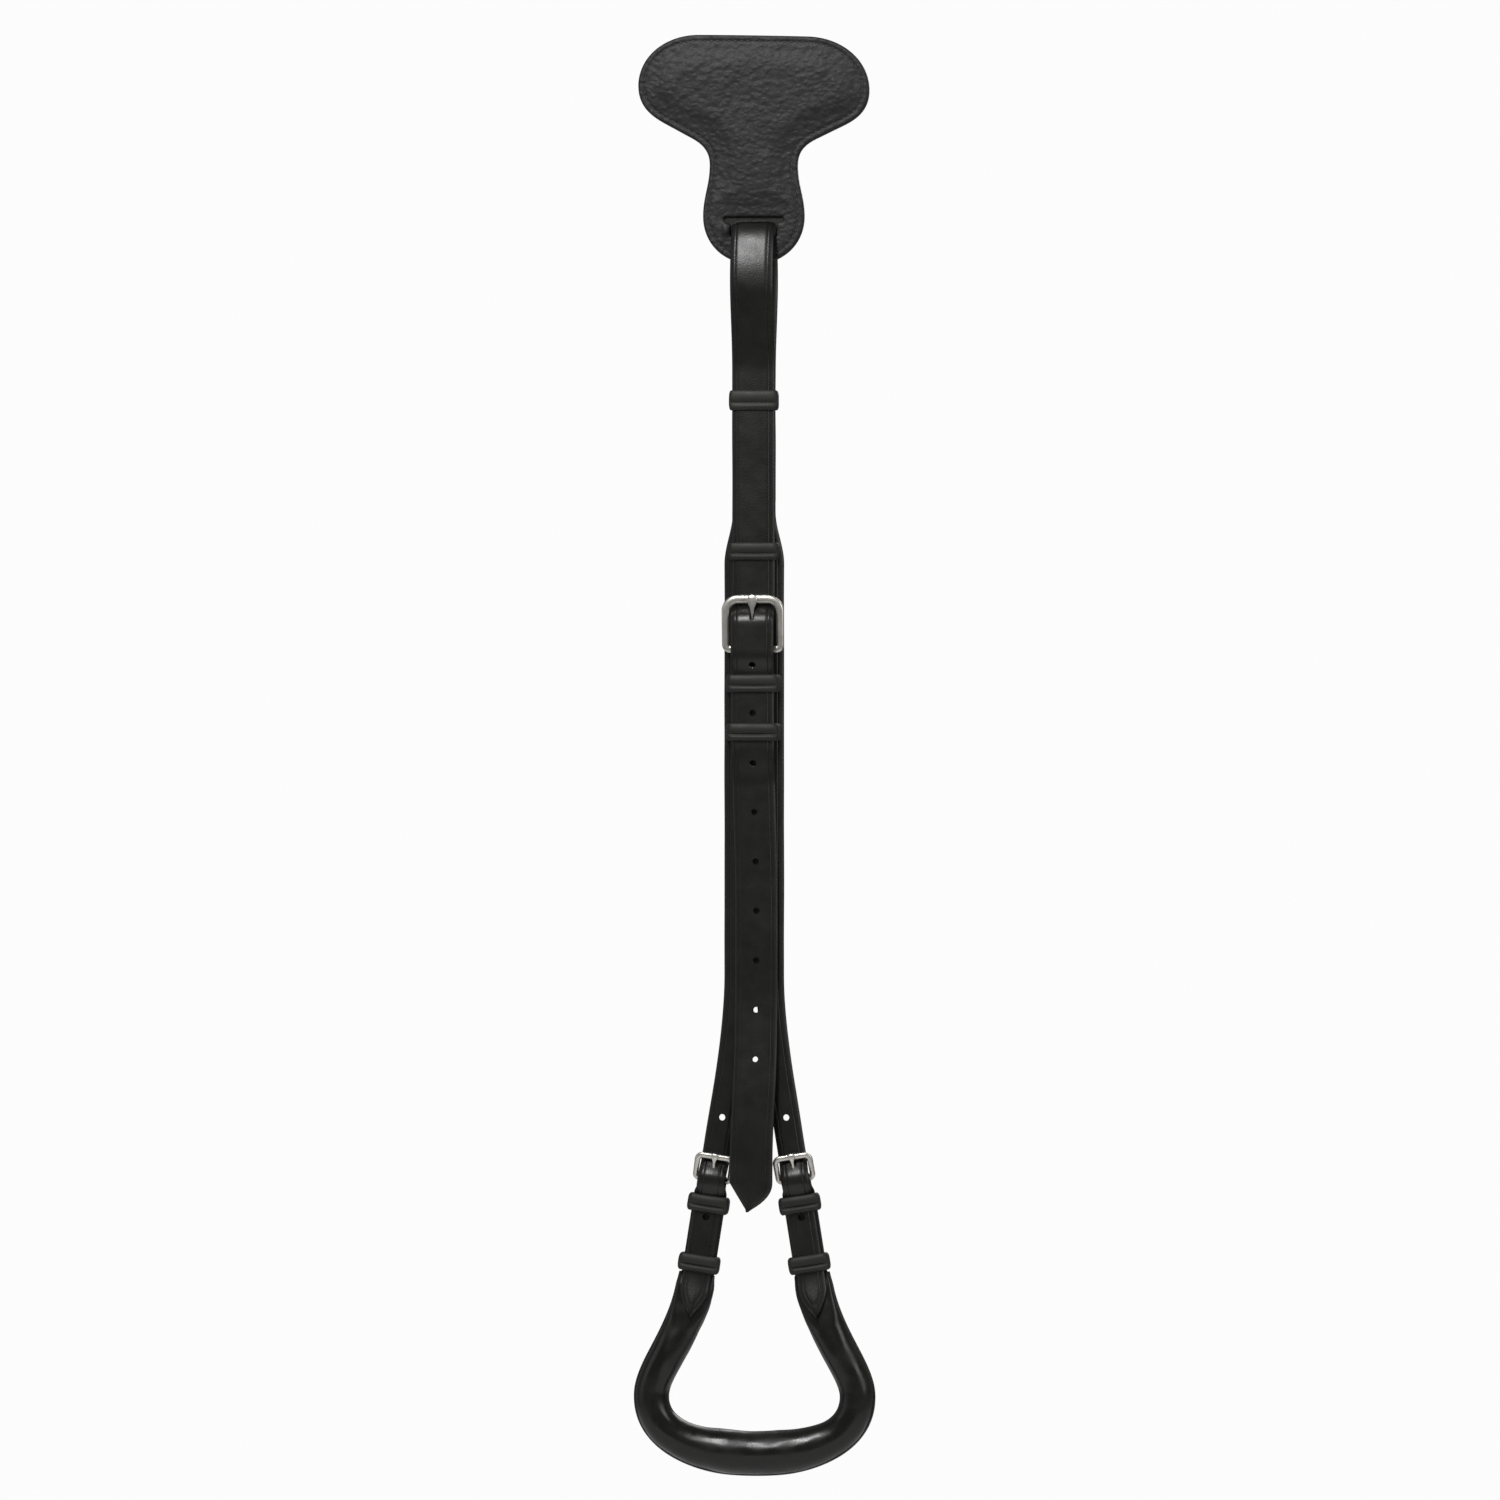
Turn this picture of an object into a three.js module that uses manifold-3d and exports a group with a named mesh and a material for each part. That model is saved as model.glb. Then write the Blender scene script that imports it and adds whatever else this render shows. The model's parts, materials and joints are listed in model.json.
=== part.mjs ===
// A saddle crupper in black leather, hanging from its T-shaped plate.
//
// The T pad slides under the back of a saddle. A long strap is looped through its slot: the rear
// half widens and splits into two tails, the front half is the punched billet of the main buckle.
// The two tails buckle onto a stuffed leather loop, the dock, that lies under the horse's tail.
//
// Millimetres. +Z up, the front face looks along -Y, and +X is on the right seen from the front.
// The origin is on the back of the T pad, in the middle of its head.
import * as THREE from "three";
import { mergeVertices } from "three/addons/utils/BufferGeometryUtils.js";
import Module from "manifold-3d";

// ---------------------------------------------------------------- driving dimensions
const GAP = 0.3; // between pieces that touch
const LEATHER = 3.0; // thickness of every strap
const HALF = LEATHER / 2;
const FAR = 500; // long enough to cut right through anything

const padThickness = 6;
const padHeadTop = 27.5;
const padHeadHalf = 58.7;
const padNeckHalf = 22.3;
const padTabHalf = 25.7;
const padBottom = -88.3;
const slotTop = -66;
const slotBottom = -74.4;
const slotHalf = 12.3;
const coverThickness = 2.1;
const liningThickness = 2.0;
const plateThickness = 1.2;
const rimWidth = 5; // stitched border outside the steel plate
const slotRim = 3; // leather round the slot that the plate keeps clear of

const billetHalf = 10.9;
const wideHalf = 15.2;
const tailHalf = 7.15;
const holeRadius = 2.0;
const holePitch = 25;

// Depths (Y) of the layers: the two halves of the strap lie on either side of the plane midY.
const midY = -3;
const rearY = midY + GAP / 2 + HALF;
const frontY = midY - GAP / 2 - HALF;

// The stiff arch of the strap over the bar of the T pad below its slot.
const archTop = -67.8;
const archZ = -97; // its widest level
const archReach = 12.7; // half its depth there
const meetZ = -143; // where the two halves come together

const runnerZ = -157.1;
const bendZ = -192; // living hinge of the doubled strap
const bendAngle = 24;
const shoulderTop = -213.5;
const shoulderBottom = -240;

const barPlay = 0.35; // between a hinge bar and the leather folded round it
const prongPlay = 0.25; // between a hinge bar and a tongue's eye
const mainWire = 1.65;
const mainBarZ = -283;
const mainReach = 25.4; // hinge bar to top bar
const mainTilt = 4.9; // degrees, top bar forward
const mainArm = 14.25; // middle of the frame to the middle of a side
const chapeWall = 1.8;
const chapeHalf = 10;
const chapeEnd = -331;
const foldSlack = 0.15; // between the two layers of a fold
const foldRadius = mainWire + barPlay + chapeWall;
const mainBarY = rearY - HALF - GAP - foldRadius;
const overBarY = mainBarY - foldRadius - GAP - HALF;
const overChapeY = rearY - HALF - GAP - 2 * chapeWall - foldSlack - GAP - HALF;
const firstHoleZ = -290.4;

const flapZ = -332; // living hinge of the billet's free end
const flapAngle = 32;
const flapLean = 0.5; // degrees that the free end hangs out of plumb
const pointTop = -553.6;
const pointTip = -567.7;

const slitTop = -441;
const dockHingeZ = -530; // living hinge across both tails
const dockAngle = 37;

const sideTilt = 9; // degrees, the tails and dock straps run outwards going down
const sideX = 21.3; // middle of a side buckle's hinge bar
const sideZ = -551.5;
const sideBarY = -1.6;
const sideWire = 1.3;
const sideReach = 12.2;
const sideBuckleTilt = 15.5;
const sideArm = 8.95;
const sideChapeWall = 1.5;
const sideFoldRadius = sideWire + barPlay + sideChapeWall;
const sideChapeHalf = 7.2;
const dockStrapHalf = 8.25;
const dockTongueHalf = 6.4; // inside the mouth
const overSideBarY = sideBarY - sideFoldRadius - GAP - HALF;
const overDockStrapY = -3.7;

const dockY = -0.2; // middle plane of the dock
const dockWall = 1.8;
const mouth = -52.5; // along the side strap, where the dock's cover starts
const tongueEnd = -61;
const mouthHalf = 9.6;
const mouthDepth = 4.1; // half
const dockRadius = 8.85;
const dockSwell = 2.3; // added to the radius in the middle at the bottom
const dockWidest = new THREE.Vector3(52, dockY, -660.8);
const dockBottom = new THREE.Vector3(0, dockY, -689.7);

// ---------------------------------------------------------------- materials
function material(color, roughness, metalness = 0) {
  return new THREE.MeshStandardMaterial({ color, roughness, metalness });
}
const leather = material(0x222220, 0.5);
const grainLeather = material(0x373736, 0.7);
const rolledLeather = material(0x1d1e1a, 0.25);
const nickel = material(0xc9c4b8, 0.25, 1);
const steel = material(0x8a8c8e, 0.45, 1);
const flax = material(0x9a8a66, 0.95);

// ---------------------------------------------------------------- solids
const wasm = await Module();
wasm.setup();

function solid(geometry) {
  const bare = geometry.clone();
  bare.deleteAttribute("normal");
  bare.deleteAttribute("uv");
  const merged = mergeVertices(bare, 1e-4);
  return new wasm.Manifold(
    new wasm.Mesh({
      numProp: 3,
      vertProperties: merged.attributes.position.array,
      triVerts: new Uint32Array(merged.index.array),
    }),
  );
}

function geometryOf(manifold) {
  const mesh = manifold.getMesh();
  const geometry = new THREE.BufferGeometry();
  geometry.setAttribute(
    "position",
    new THREE.BufferAttribute(new Float32Array(mesh.vertProperties), 3),
  );
  geometry.setIndex(new THREE.BufferAttribute(new Uint32Array(mesh.triVerts), 1));
  geometry.computeVertexNormals();
  return geometry;
}

function cut(geometry, ...tools) {
  let left = solid(geometry);
  for (const tool of tools) left = left.subtract(solid(tool));
  return geometryOf(left);
}

function join(geometry, ...others) {
  let all = solid(geometry);
  for (const other of others) all = all.add(solid(other));
  return geometryOf(all);
}

function common(geometry, ...others) {
  let both = solid(geometry);
  for (const other of others) both = both.intersect(solid(other));
  return geometryOf(both);
}

// A flat sheet: an outline in X and Z, between two depths.
function sheet(outline, front, back) {
  return new THREE.ExtrudeGeometry(outline, {
    depth: back - front,
    bevelEnabled: false,
    curveSegments: 8,
  })
    .rotateX(Math.PI / 2)
    .translate(0, back, 0);
}

// A side view, an outline in Y and Z, extruded across X to both sides of the middle.
function across(outline, half) {
  const turn = new THREE.Matrix4().makeBasis(
    new THREE.Vector3(0, 1, 0),
    new THREE.Vector3(0, 0, 1),
    new THREE.Vector3(1, 0, 0),
  );
  return new THREE.ExtrudeGeometry(outline, {
    depth: 2 * half,
    bevelEnabled: false,
    curveSegments: 10,
  })
    .applyMatrix4(turn)
    .translate(-half, 0, 0);
}

// The side view of a strap of even thickness whose middle follows the points.
function strapOutline(points) {
  const front = [];
  const back = [];
  points.forEach((point, i) => {
    const before = points[Math.max(i - 1, 0)];
    const after = points[Math.min(i + 1, points.length - 1)];
    const along = after.clone().sub(before).normalize();
    const out = new THREE.Vector2(along.y, -along.x).multiplyScalar(HALF);
    front.push(point.clone().add(out));
    back.push(point.clone().sub(out));
  });
  return new THREE.Shape([...front, ...back.reverse()]);
}

// The middle of a strap that goes down from level to level: each level is [z, y], and the strap
// eases from one to the next.
function easedLevels(levels) {
  const steps = 6;
  const points = [];
  for (let i = 0; i < levels.length - 1; i++) {
    const [z0, y0] = levels[i];
    const [z1, y1] = levels[i + 1];
    const count = y0 === y1 ? 1 : steps;
    for (let k = 0; k < count; k++) {
      const t = k / count;
      const eased = THREE.MathUtils.smoothstep(t, 0, 1);
      points.push(new THREE.Vector2(y0 + (y1 - y0) * eased, z0 + (z1 - z0) * t));
    }
  }
  const [zEnd, yEnd] = levels.at(-1);
  points.push(new THREE.Vector2(yEnd, zEnd));
  return points;
}

// Closed body through a row of rings. looped joins the last ring to the first, which also makes
// a hollow tube from outer rings followed by inner ones; otherwise both ends are capped.
function skin(rings, looped) {
  const size = rings[0].length;
  const positions = rings.flat().flatMap((p) => [p.x, p.y, p.z]);
  const index = [];
  const last = looped ? rings.length : rings.length - 1;
  for (let i = 0; i < last; i++)
    for (let k = 0; k < size; k++) {
      const a = i * size + k;
      const b = i * size + ((k + 1) % size);
      const c = ((i + 1) % rings.length) * size + k;
      const d = ((i + 1) % rings.length) * size + ((k + 1) % size);
      index.push(a, b, c, b, d, c);
    }
  if (!looped) {
    const end = (rings.length - 1) * size;
    for (let k = 1; k < size - 1; k++) {
      index.push(0, k + 1, k);
      index.push(end, end + k, end + k + 1);
    }
  }
  const geometry = new THREE.BufferGeometry();
  geometry.setAttribute("position", new THREE.Float32BufferAttribute(positions, 3));
  geometry.setIndex(index);
  return geometry;
}

// Rings along a path that lies in one plane. halfSizes(i) gives the section's half width, half
// depth and squareness: 2 is an ellipse, more is nearer to a rectangle.
function ringsAlong(path, planeNormal, halfSizes, sides, looped = false) {
  return path.map((centre, i) => {
    const wrap = (n) =>
      looped ? (n + path.length) % path.length : THREE.MathUtils.clamp(n, 0, path.length - 1);
    const along = path[wrap(i + 1)].clone().sub(path[wrap(i - 1)]).normalize();
    const side = new THREE.Vector3().crossVectors(planeNormal, along);
    const { width, depth, square } = halfSizes(i);
    return Array.from({ length: sides }, (_, k) => {
      const angle = (2 * Math.PI * (k + 0.5)) / sides;
      const flat = (v) => Math.sign(v) * Math.abs(v) ** (2 / square);
      return centre
        .clone()
        .addScaledVector(side, width * flat(Math.cos(angle)))
        .addScaledVector(planeNormal, depth * flat(Math.sin(angle)));
    });
  });
}

// What a living hinge leaves of a strap: the part on one side of a V whose point is on the axis.
function hingeTool(y, z, degrees, side) {
  const reach = 40; // deeper than any strap
  const lean = reach * Math.tan(THREE.MathUtils.degToRad(degrees));
  const tip = z + (side * GAP) / 2;
  const outline = new THREE.Shape([
    new THREE.Vector2(y, tip),
    new THREE.Vector2(y + reach, tip + side * lean),
    new THREE.Vector2(y + reach, tip + side * FAR),
    new THREE.Vector2(y - reach, tip + side * FAR),
    new THREE.Vector2(y - reach, tip + side * lean),
  ]);
  return across(outline, FAR);
}

function drill(x, z, radius) {
  const length = 60;
  return new THREE.CylinderGeometry(radius, radius, length, 12).translate(x, 0, z);
}

// ---------------------------------------------------------------- T pad
function padOutline() {
  const outline = new THREE.Shape();
  outline.moveTo(0, padHeadTop);
  outline.lineTo(28, padHeadTop);
  outline.bezierCurveTo(44, 27.2, 57.9, 17, padHeadHalf, 2);
  outline.bezierCurveTo(58.9, -8, 54, -13, 46, -17.3);
  outline.lineTo(31, -25);
  outline.bezierCurveTo(25.5, -28, padNeckHalf, -31.5, padNeckHalf, -38);
  outline.bezierCurveTo(padNeckHalf, -48, padTabHalf, -54, padTabHalf, -64);
  outline.bezierCurveTo(padTabHalf, -78, 15, padBottom, 0, padBottom);
  const right = outline.getPoints(6);
  const left = right.slice(1, -1).reverse();
  return new THREE.Shape([...right, ...left.map((p) => new THREE.Vector2(-p.x, p.y))]);
}

function roundedBox(half, bottom, top, radius) {
  const box = new THREE.Path();
  box.moveTo(-half + radius, bottom);
  box.absarc(half - radius, bottom + radius, radius, -Math.PI / 2, 0);
  box.absarc(half - radius, top - radius, radius, 0, Math.PI / 2);
  box.absarc(-half + radius, top - radius, radius, Math.PI / 2, Math.PI);
  box.absarc(-half + radius, bottom + radius, radius, Math.PI, 1.5 * Math.PI);
  return box;
}

function roundedShape(half, bottom, top, radius) {
  return new THREE.Shape(roundedBox(half, bottom, top, radius).getPoints(4).slice(0, -1));
}

// The outline drawn in by a distance: each corner moves along the mean of its two edges' normals.
function drawnIn(outline, distance) {
  const points = outline.getPoints(6);
  return new THREE.Shape(
    points.map((point, i) => {
      const before = points[(i + points.length - 1) % points.length];
      const after = points[(i + 1) % points.length];
      const along = after.clone().sub(before).normalize();
      return point.clone().add(new THREE.Vector2(along.y, -along.x).multiplyScalar(distance));
    }),
  );
}

function tPad() {
  const outline = padOutline();
  const slotCorner = 1.2;
  const slot = sheet(roundedShape(slotHalf, slotBottom, slotTop, slotCorner), -FAR, FAR);
  // The plate stops above the slot: this is what it and its pocket lose below and round it.
  const belowSlot = (margin) =>
    sheet(roundedShape(slotHalf + margin, slotBottom - FAR, slotTop + margin, 4), -FAR, FAR);
  const platePlan = drawnIn(outline, rimWidth + GAP);
  const pocketPlan = drawnIn(outline, rimWidth);
  const front = -padThickness;
  const coverBack = front + coverThickness;
  const cover = cut(sheet(outline, front, coverBack), slot);
  // The lining is a tray: its rim comes forward round the plate, outside it and round the slot.
  const tray = sheet(outline, coverBack + GAP / 2, 0);
  const pocket = cut(sheet(pocketPlan, coverBack - 1, -liningThickness), belowSlot(slotRim));
  const lining = cut(tray, pocket, slot);
  const plateBack = -liningThickness - GAP;
  const steelPlate = cut(
    sheet(platePlan, plateBack - plateThickness, plateBack),
    belowSlot(slotRim + GAP),
  );
  return [
    ["t_pad_cover", cover, grainLeather],
    ["t_plate", steelPlate, steel],
    ["t_pad_lining", lining, leather],
  ];
}

// ---------------------------------------------------------------- strap through the slot
function strapLoop() {
  const rest = HALF + GAP / 2;
  const steps = 8;
  const rear = [new THREE.Vector2(rest, bendZ)];
  for (let i = 0; i <= steps; i++) {
    const t = i / steps;
    const y = rest + (archReach - rest) * THREE.MathUtils.smoothstep(t, 0, 1);
    rear.push(new THREE.Vector2(y, meetZ + (archZ - meetZ) * t));
  }
  const quarter = new THREE.EllipseCurve(0, archZ, archReach, archTop - archZ, 0, Math.PI / 2);
  rear.push(...quarter.getPoints(10).slice(1));
  const front = rear.slice(0, -1).reverse().map((p) => new THREE.Vector2(-p.x, p.y));
  const middle = [...rear, ...front].map((p) => new THREE.Vector2(p.x + midY, p.y));
  return common(
    across(strapOutline(middle), billetHalf),
    hingeTool(midY, bendZ, bendAngle, 1),
  );
}

// A closed band round a strap, its opening drawn by half width and two depths.
function band(z, height, half, front, back, sideWall, faceWall) {
  const outerCorner = 1.6;
  const innerCorner = 0.6;
  const outer = roundedShape(half + sideWall, front - faceWall, back + faceWall, outerCorner);
  const opening = roundedBox(half, front, back, innerCorner).getPoints(2).slice(0, -1);
  outer.holes.push(new THREE.Path(opening));
  return new THREE.ExtrudeGeometry(outer, { depth: height, bevelEnabled: false }).translate(
    0, 0, z - height / 2,
  );
}

// A keeper whose two ends are sewn down: a band that is open at the back.
function sewnKeeper(z, height, half, front, back, sideWall, faceWall) {
  const ring = band(z, height, half, front, back + height, sideWall, faceWall);
  const behind = new THREE.BoxGeometry(FAR, FAR, FAR).translate(0, back + FAR / 2, z);
  return cut(ring, behind);
}

// ---------------------------------------------------------------- fork strap
function tailCurve() {
  const lean = Math.tan(THREE.MathUtils.degToRad(sideTilt));
  const endX = sideX - (dockHingeZ - sideZ) * lean;
  return new THREE.CubicBezierCurve(
    new THREE.Vector2(wideHalf - tailHalf, slitTop),
    new THREE.Vector2(wideHalf - tailHalf, slitTop - 29),
    new THREE.Vector2(endX - 24 * lean, dockHingeZ + 24),
    new THREE.Vector2(endX, dockHingeZ),
  );
}

function forkStrap() {
  const tail = tailCurve();
  const steps = 10;
  const slitHalf = 0.4;
  const slitHole = 1.8;
  const outer = [];
  const inner = [];
  for (let i = 0; i <= steps; i++) {
    const at = tail.getPoint(i / steps);
    const along = tail.getTangent(i / steps);
    const out = new THREE.Vector2(-along.y, along.x).multiplyScalar(tailHalf);
    outer.push(at.clone().add(out));
    inner.push(at.clone().sub(out));
  }
  inner[0].x = slitHalf;
  const right = [
    new THREE.Vector2(billetHalf, bendZ + 5),
    new THREE.Vector2(billetHalf, shoulderTop),
    new THREE.Vector2(billetHalf + 2.5, shoulderTop - 10), // the shoulder is an S
    new THREE.Vector2(wideHalf - 0.5, shoulderBottom + 4),
    new THREE.Vector2(wideHalf, shoulderBottom),
    ...outer,
    ...inner.reverse(),
  ];
  const left = right.map((p) => new THREE.Vector2(-p.x, p.y)).reverse();
  const body = sheet(new THREE.Shape([...right, ...left]), rearY - HALF, rearY + HALF);
  const hole = tail.getPoint(0.89); // the free hole above the side buckle
  return cut(
    common(
      body,
      hingeTool(midY, bendZ, bendAngle, -1),
      hingeTool(rearY, dockHingeZ, dockAngle, 1),
    ),
    drill(0, slitTop, slitHole),
    drill(hole.x, hole.y, holeRadius),
    drill(-hole.x, hole.y, holeRadius),
  );
}

// ---------------------------------------------------------------- billet
function billetUpper(prongRoom) {
  const middle = easedLevels([
    [bendZ + 5, frontY],
    [-256.5, frontY],
    [-272.5, overBarY],
    [mainBarZ - 1.5, overBarY],
    [-296, overChapeY],
    [flapZ - 5, overChapeY],
  ]);
  return cut(
    common(
      across(strapOutline(middle), billetHalf),
      hingeTool(midY, bendZ, bendAngle, -1),
      hingeTool(overChapeY, flapZ, flapAngle, 1),
    ),
    prongRoom,
    drill(0, firstHoleZ, holeRadius),
    drill(0, firstHoleZ - holePitch, holeRadius),
  );
}

// Made upright with its hinge at z = 0, so that it can hang a little out of plumb.
function billetEnd() {
  const overBucklesY = -9.1;
  const down = (z) => z - flapZ;
  const middle = easedLevels([
    [5, overChapeY],
    [0, overChapeY],
    [-20, frontY],
    [down(-503), frontY],
    [down(-530), overBucklesY],
    [down(pointTip) - 2, overBucklesY],
  ]);
  const plan = new THREE.Shape([
    new THREE.Vector2(-billetHalf, 8),
    new THREE.Vector2(-billetHalf, down(pointTop)),
    new THREE.Vector2(-7.6, down(pointTop) - 6),
    new THREE.Vector2(-0.8, down(pointTip)),
    new THREE.Vector2(0.8, down(pointTip)),
    new THREE.Vector2(7.6, down(pointTop) - 6),
    new THREE.Vector2(billetHalf, down(pointTop)),
    new THREE.Vector2(billetHalf, 8),
  ]);
  const holes = Array.from({ length: 7 }, (_, i) =>
    drill(0, down(firstHoleZ - (i + 2) * holePitch), holeRadius),
  );
  return cut(
    common(
      across(strapOutline(middle), billetHalf),
      sheet(plan, -40, 20),
      hingeTool(overChapeY, 0, flapAngle, -1),
    ),
    ...holes,
  );
}

// ---------------------------------------------------------------- buckles
// A one-piece wire frame round its window: the hinge bar is at the origin, the top bar above it.
function buckleFrame(arm, reach, wire, topRadius) {
  const low = 2.2; // radius of its lower corners
  const path = new THREE.Path();
  path.moveTo(-arm + low, 0);
  path.absarc(arm - low, low, low, -Math.PI / 2, 0);
  path.absarc(arm - topRadius, reach - topRadius, topRadius, 0, Math.PI / 2);
  path.absarc(-arm + topRadius, reach - topRadius, topRadius, Math.PI / 2, Math.PI);
  path.absarc(-arm + low, low, low, Math.PI, 1.5 * Math.PI);
  const points = path
    .getPoints(3)
    .slice(0, -1)
    .map((p) => new THREE.Vector3(p.x, 0, p.y));
  const round = () => ({ width: wire, depth: wire, square: 2 });
  return skin(ringsAlong(points, new THREE.Vector3(0, 1, 0), round, 8, true), true);
}

// A tongue: an eye that turns on the hinge bar, and a tapering arm from start to tip in Y and Z.
function prong(bore, wall, eyeHalf, start, tip, thick, thin) {
  const disc = (radius, half) =>
    new THREE.CylinderGeometry(radius, radius, 2 * half, 14).rotateZ(Math.PI / 2);
  const points = [0, 0.5, 1].map((t) => start.clone().lerp(tip, t));
  const deeper = 1.15; // a tongue is a little deeper than wide
  const size = (i) => {
    const radius = thick + ((thin - thick) * i) / 2;
    return { width: radius, depth: radius * deeper, square: 2.6 };
  };
  const arm = skin(ringsAlong(points, new THREE.Vector3(1, 0, 0), size, 8), false);
  return cut(join(disc(bore + wall, eyeHalf), arm), disc(bore, eyeHalf + 1));
}

const mainStart = new THREE.Vector3(0, -0.75, 2.4);
const mainTip = new THREE.Vector3(0, -5.5, mainReach + 1.4);
const sideStart = new THREE.Vector3(0, -0.8, 2.0);
const sideTip = new THREE.Vector3(0, -6.45, sideReach + 0.9);

// The room that a tongue takes in the strap's hole, with the play that it has there.
function prongRoom(start, tip, half) {
  const play = 2.6; // in depth, for the tongue's lift
  const forward = 0.8;
  const along = tip.clone().sub(start);
  const middle = start.clone().lerp(tip, 0.5);
  const room = new THREE.BoxGeometry(2 * half, 2 * half + play, along.length());
  const lean = Math.atan2(-along.y, along.z);
  return room.rotateX(lean).translate(0, middle.y - forward, middle.z);
}

// Leather folded round a hinge bar at the origin: its outline in Y and Z, and the bar's room.
function chapeOutline(outer, inner, frontBelow, meetBelow, end) {
  const outline = new THREE.Shape();
  outline.moveTo(outer, end);
  outline.lineTo(outer, 0);
  outline.absarc(0, 0, outer, 0, Math.PI);
  outline.lineTo(frontBelow, -meetBelow);
  outline.lineTo(frontBelow, end);
  const room = new THREE.Path();
  room.absarc(0, 0, inner, 0, 2 * Math.PI);
  outline.holes.push(room);
  return outline;
}

function mainChape() {
  const end = chapeEnd - mainBarZ;
  const frontBelow = foldRadius - 2 * chapeWall - foldSlack;
  const outline = chapeOutline(foldRadius, mainWire + barPlay, frontBelow, 9, end);
  const folded = across(outline, chapeHalf);
  const prongSlot = new THREE.BoxGeometry(5.6, 20, 14).translate(0, 0, 2.6);
  return cut(folded, prongSlot).translate(0, mainBarY, mainBarZ);
}

// ---------------------------------------------------------------- one side, in its own frame:
// the origin is level with the side buckle's hinge bar, and +Z runs up along the strap.
function dockStrap() {
  const outline = chapeOutline(sideFoldRadius, sideWire + barPlay, -0.3, 7, tongueEnd);
  const folded = across(outline, dockStrapHalf);
  const right = [
    new THREE.Vector2(sideChapeHalf, 10),
    new THREE.Vector2(sideChapeHalf, -3.5),
    new THREE.Vector2(dockStrapHalf, -6),
    new THREE.Vector2(dockStrapHalf, mouth + 2),
    new THREE.Vector2(dockTongueHalf, mouth + 0.6),
    new THREE.Vector2(dockTongueHalf, tongueEnd - 1),
  ];
  const left = right.map((p) => new THREE.Vector2(-p.x, p.y)).reverse();
  const plan = new THREE.Shape([...right, ...left]);
  const prongSlot = new THREE.BoxGeometry(4.6, 20, 10).translate(0, 0, 2.2);
  return cut(common(folded, sheet(plan, -20, 20)), prongSlot).translate(0, sideBarY, 0);
}

function tailEnd(toWorld) {
  const tip = -70.4;
  const ontoDockY = -6.9;
  const tipY = -9.4;
  const middle = easedLevels([
    [30, rearY],
    [10.5, rearY],
    [1, overSideBarY],
    [-1, overSideBarY],
    [-8, overDockStrapY],
    [-47.3, overDockStrapY],
    [-53.6, ontoDockY],
    [tip - 2, tipY],
  ]);
  const plan = new THREE.Shape([
    new THREE.Vector2(-tailHalf, 32),
    new THREE.Vector2(-tailHalf, tip + 13.4),
    new THREE.Vector2(-4.6, tip + 6.5),
    new THREE.Vector2(-0.7, tip),
    new THREE.Vector2(0.7, tip),
    new THREE.Vector2(4.6, tip + 6.5),
    new THREE.Vector2(tailHalf, tip + 13.4),
    new THREE.Vector2(tailHalf, 32),
  ]);
  const room = prongRoom(sideStart, sideTip, 1.9).translate(0, sideBarY, 0);
  const strap = cut(
    common(across(strapOutline(middle), tailHalf), sheet(plan, -40, 20)),
    room,
    drill(0, 6 - holePitch, holeRadius * 0.9),
  ).applyMatrix4(toWorld);
  return common(strap, hingeTool(rearY, dockHingeZ, dockAngle, -1));
}

// ---------------------------------------------------------------- dock
function dockPath() {
  const lean = THREE.MathUtils.degToRad(sideTilt);
  const start = new THREE.Vector3(
    sideX - mouth * Math.sin(lean), dockY, sideZ + mouth * Math.cos(lean),
  );
  const down = new THREE.Vector3(Math.sin(lean), 0, -Math.cos(lean));
  const half = new THREE.CurvePath();
  half.add(
    new THREE.CubicBezierCurve3(
      start,
      start.clone().addScaledVector(down, 25),
      dockWidest.clone().add(new THREE.Vector3(0, 0, 13.3)),
      dockWidest,
    ),
  );
  half.add(
    new THREE.CubicBezierCurve3(
      dockWidest,
      dockWidest.clone().add(new THREE.Vector3(0.4, 0, -17.8)),
      dockBottom.clone().add(new THREE.Vector3(36, 0, 0)),
      dockBottom,
    ),
  );
  const right = half.getPoints(9);
  const left = right.slice(0, -1).reverse().map((p) => new THREE.Vector3(-p.x, p.y, p.z));
  return [...right, ...left];
}

// Half sizes of the dock's section: flattened at its mouths, round from where it swings out, and
// fullest in the middle at the bottom.
function dockSection(point, inset) {
  const { lerp, smoothstep } = THREE.MathUtils;
  const opened = smoothstep(-point.z, 603, 642);
  const below = point.z < dockWidest.z ? 1 : 0;
  const full = dockSwell * below * smoothstep(dockWidest.x - Math.abs(point.x), 0, 40);
  return {
    width: lerp(mouthHalf, dockRadius, opened) + full - inset,
    depth: lerp(mouthDepth, dockRadius, opened) + full - inset,
    square: lerp(6, 2, Math.min(1, opened * 1.5)),
  };
}

function dock() {
  const path = dockPath();
  const normal = new THREE.Vector3(0, 1, 0);
  const sides = 14;
  const rings = (points, inset) =>
    ringsAlong(points, normal, (i) => dockSection(points[i], inset), sides);
  const cover = skin([...rings(path, 0), ...rings(path, dockWall).reverse()], true);
  const strapEndZ = sideZ + (tongueEnd - 2) * Math.cos(THREE.MathUtils.degToRad(sideTilt));
  const inside = path.filter((p) => p.z < strapEndZ);
  const filling = skin(rings(inside, dockWall + GAP), false);
  return [
    ["dock_cover", cover, rolledLeather],
    ["dock_filling", filling, flax],
  ];
}

// ---------------------------------------------------------------- assembly
const crupper = new THREE.Group();

function add(name, geometry, finish, parent = crupper) {
  const mesh = new THREE.Mesh(geometry, finish);
  mesh.name = name;
  parent.add(mesh);
  return mesh;
}

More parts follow.
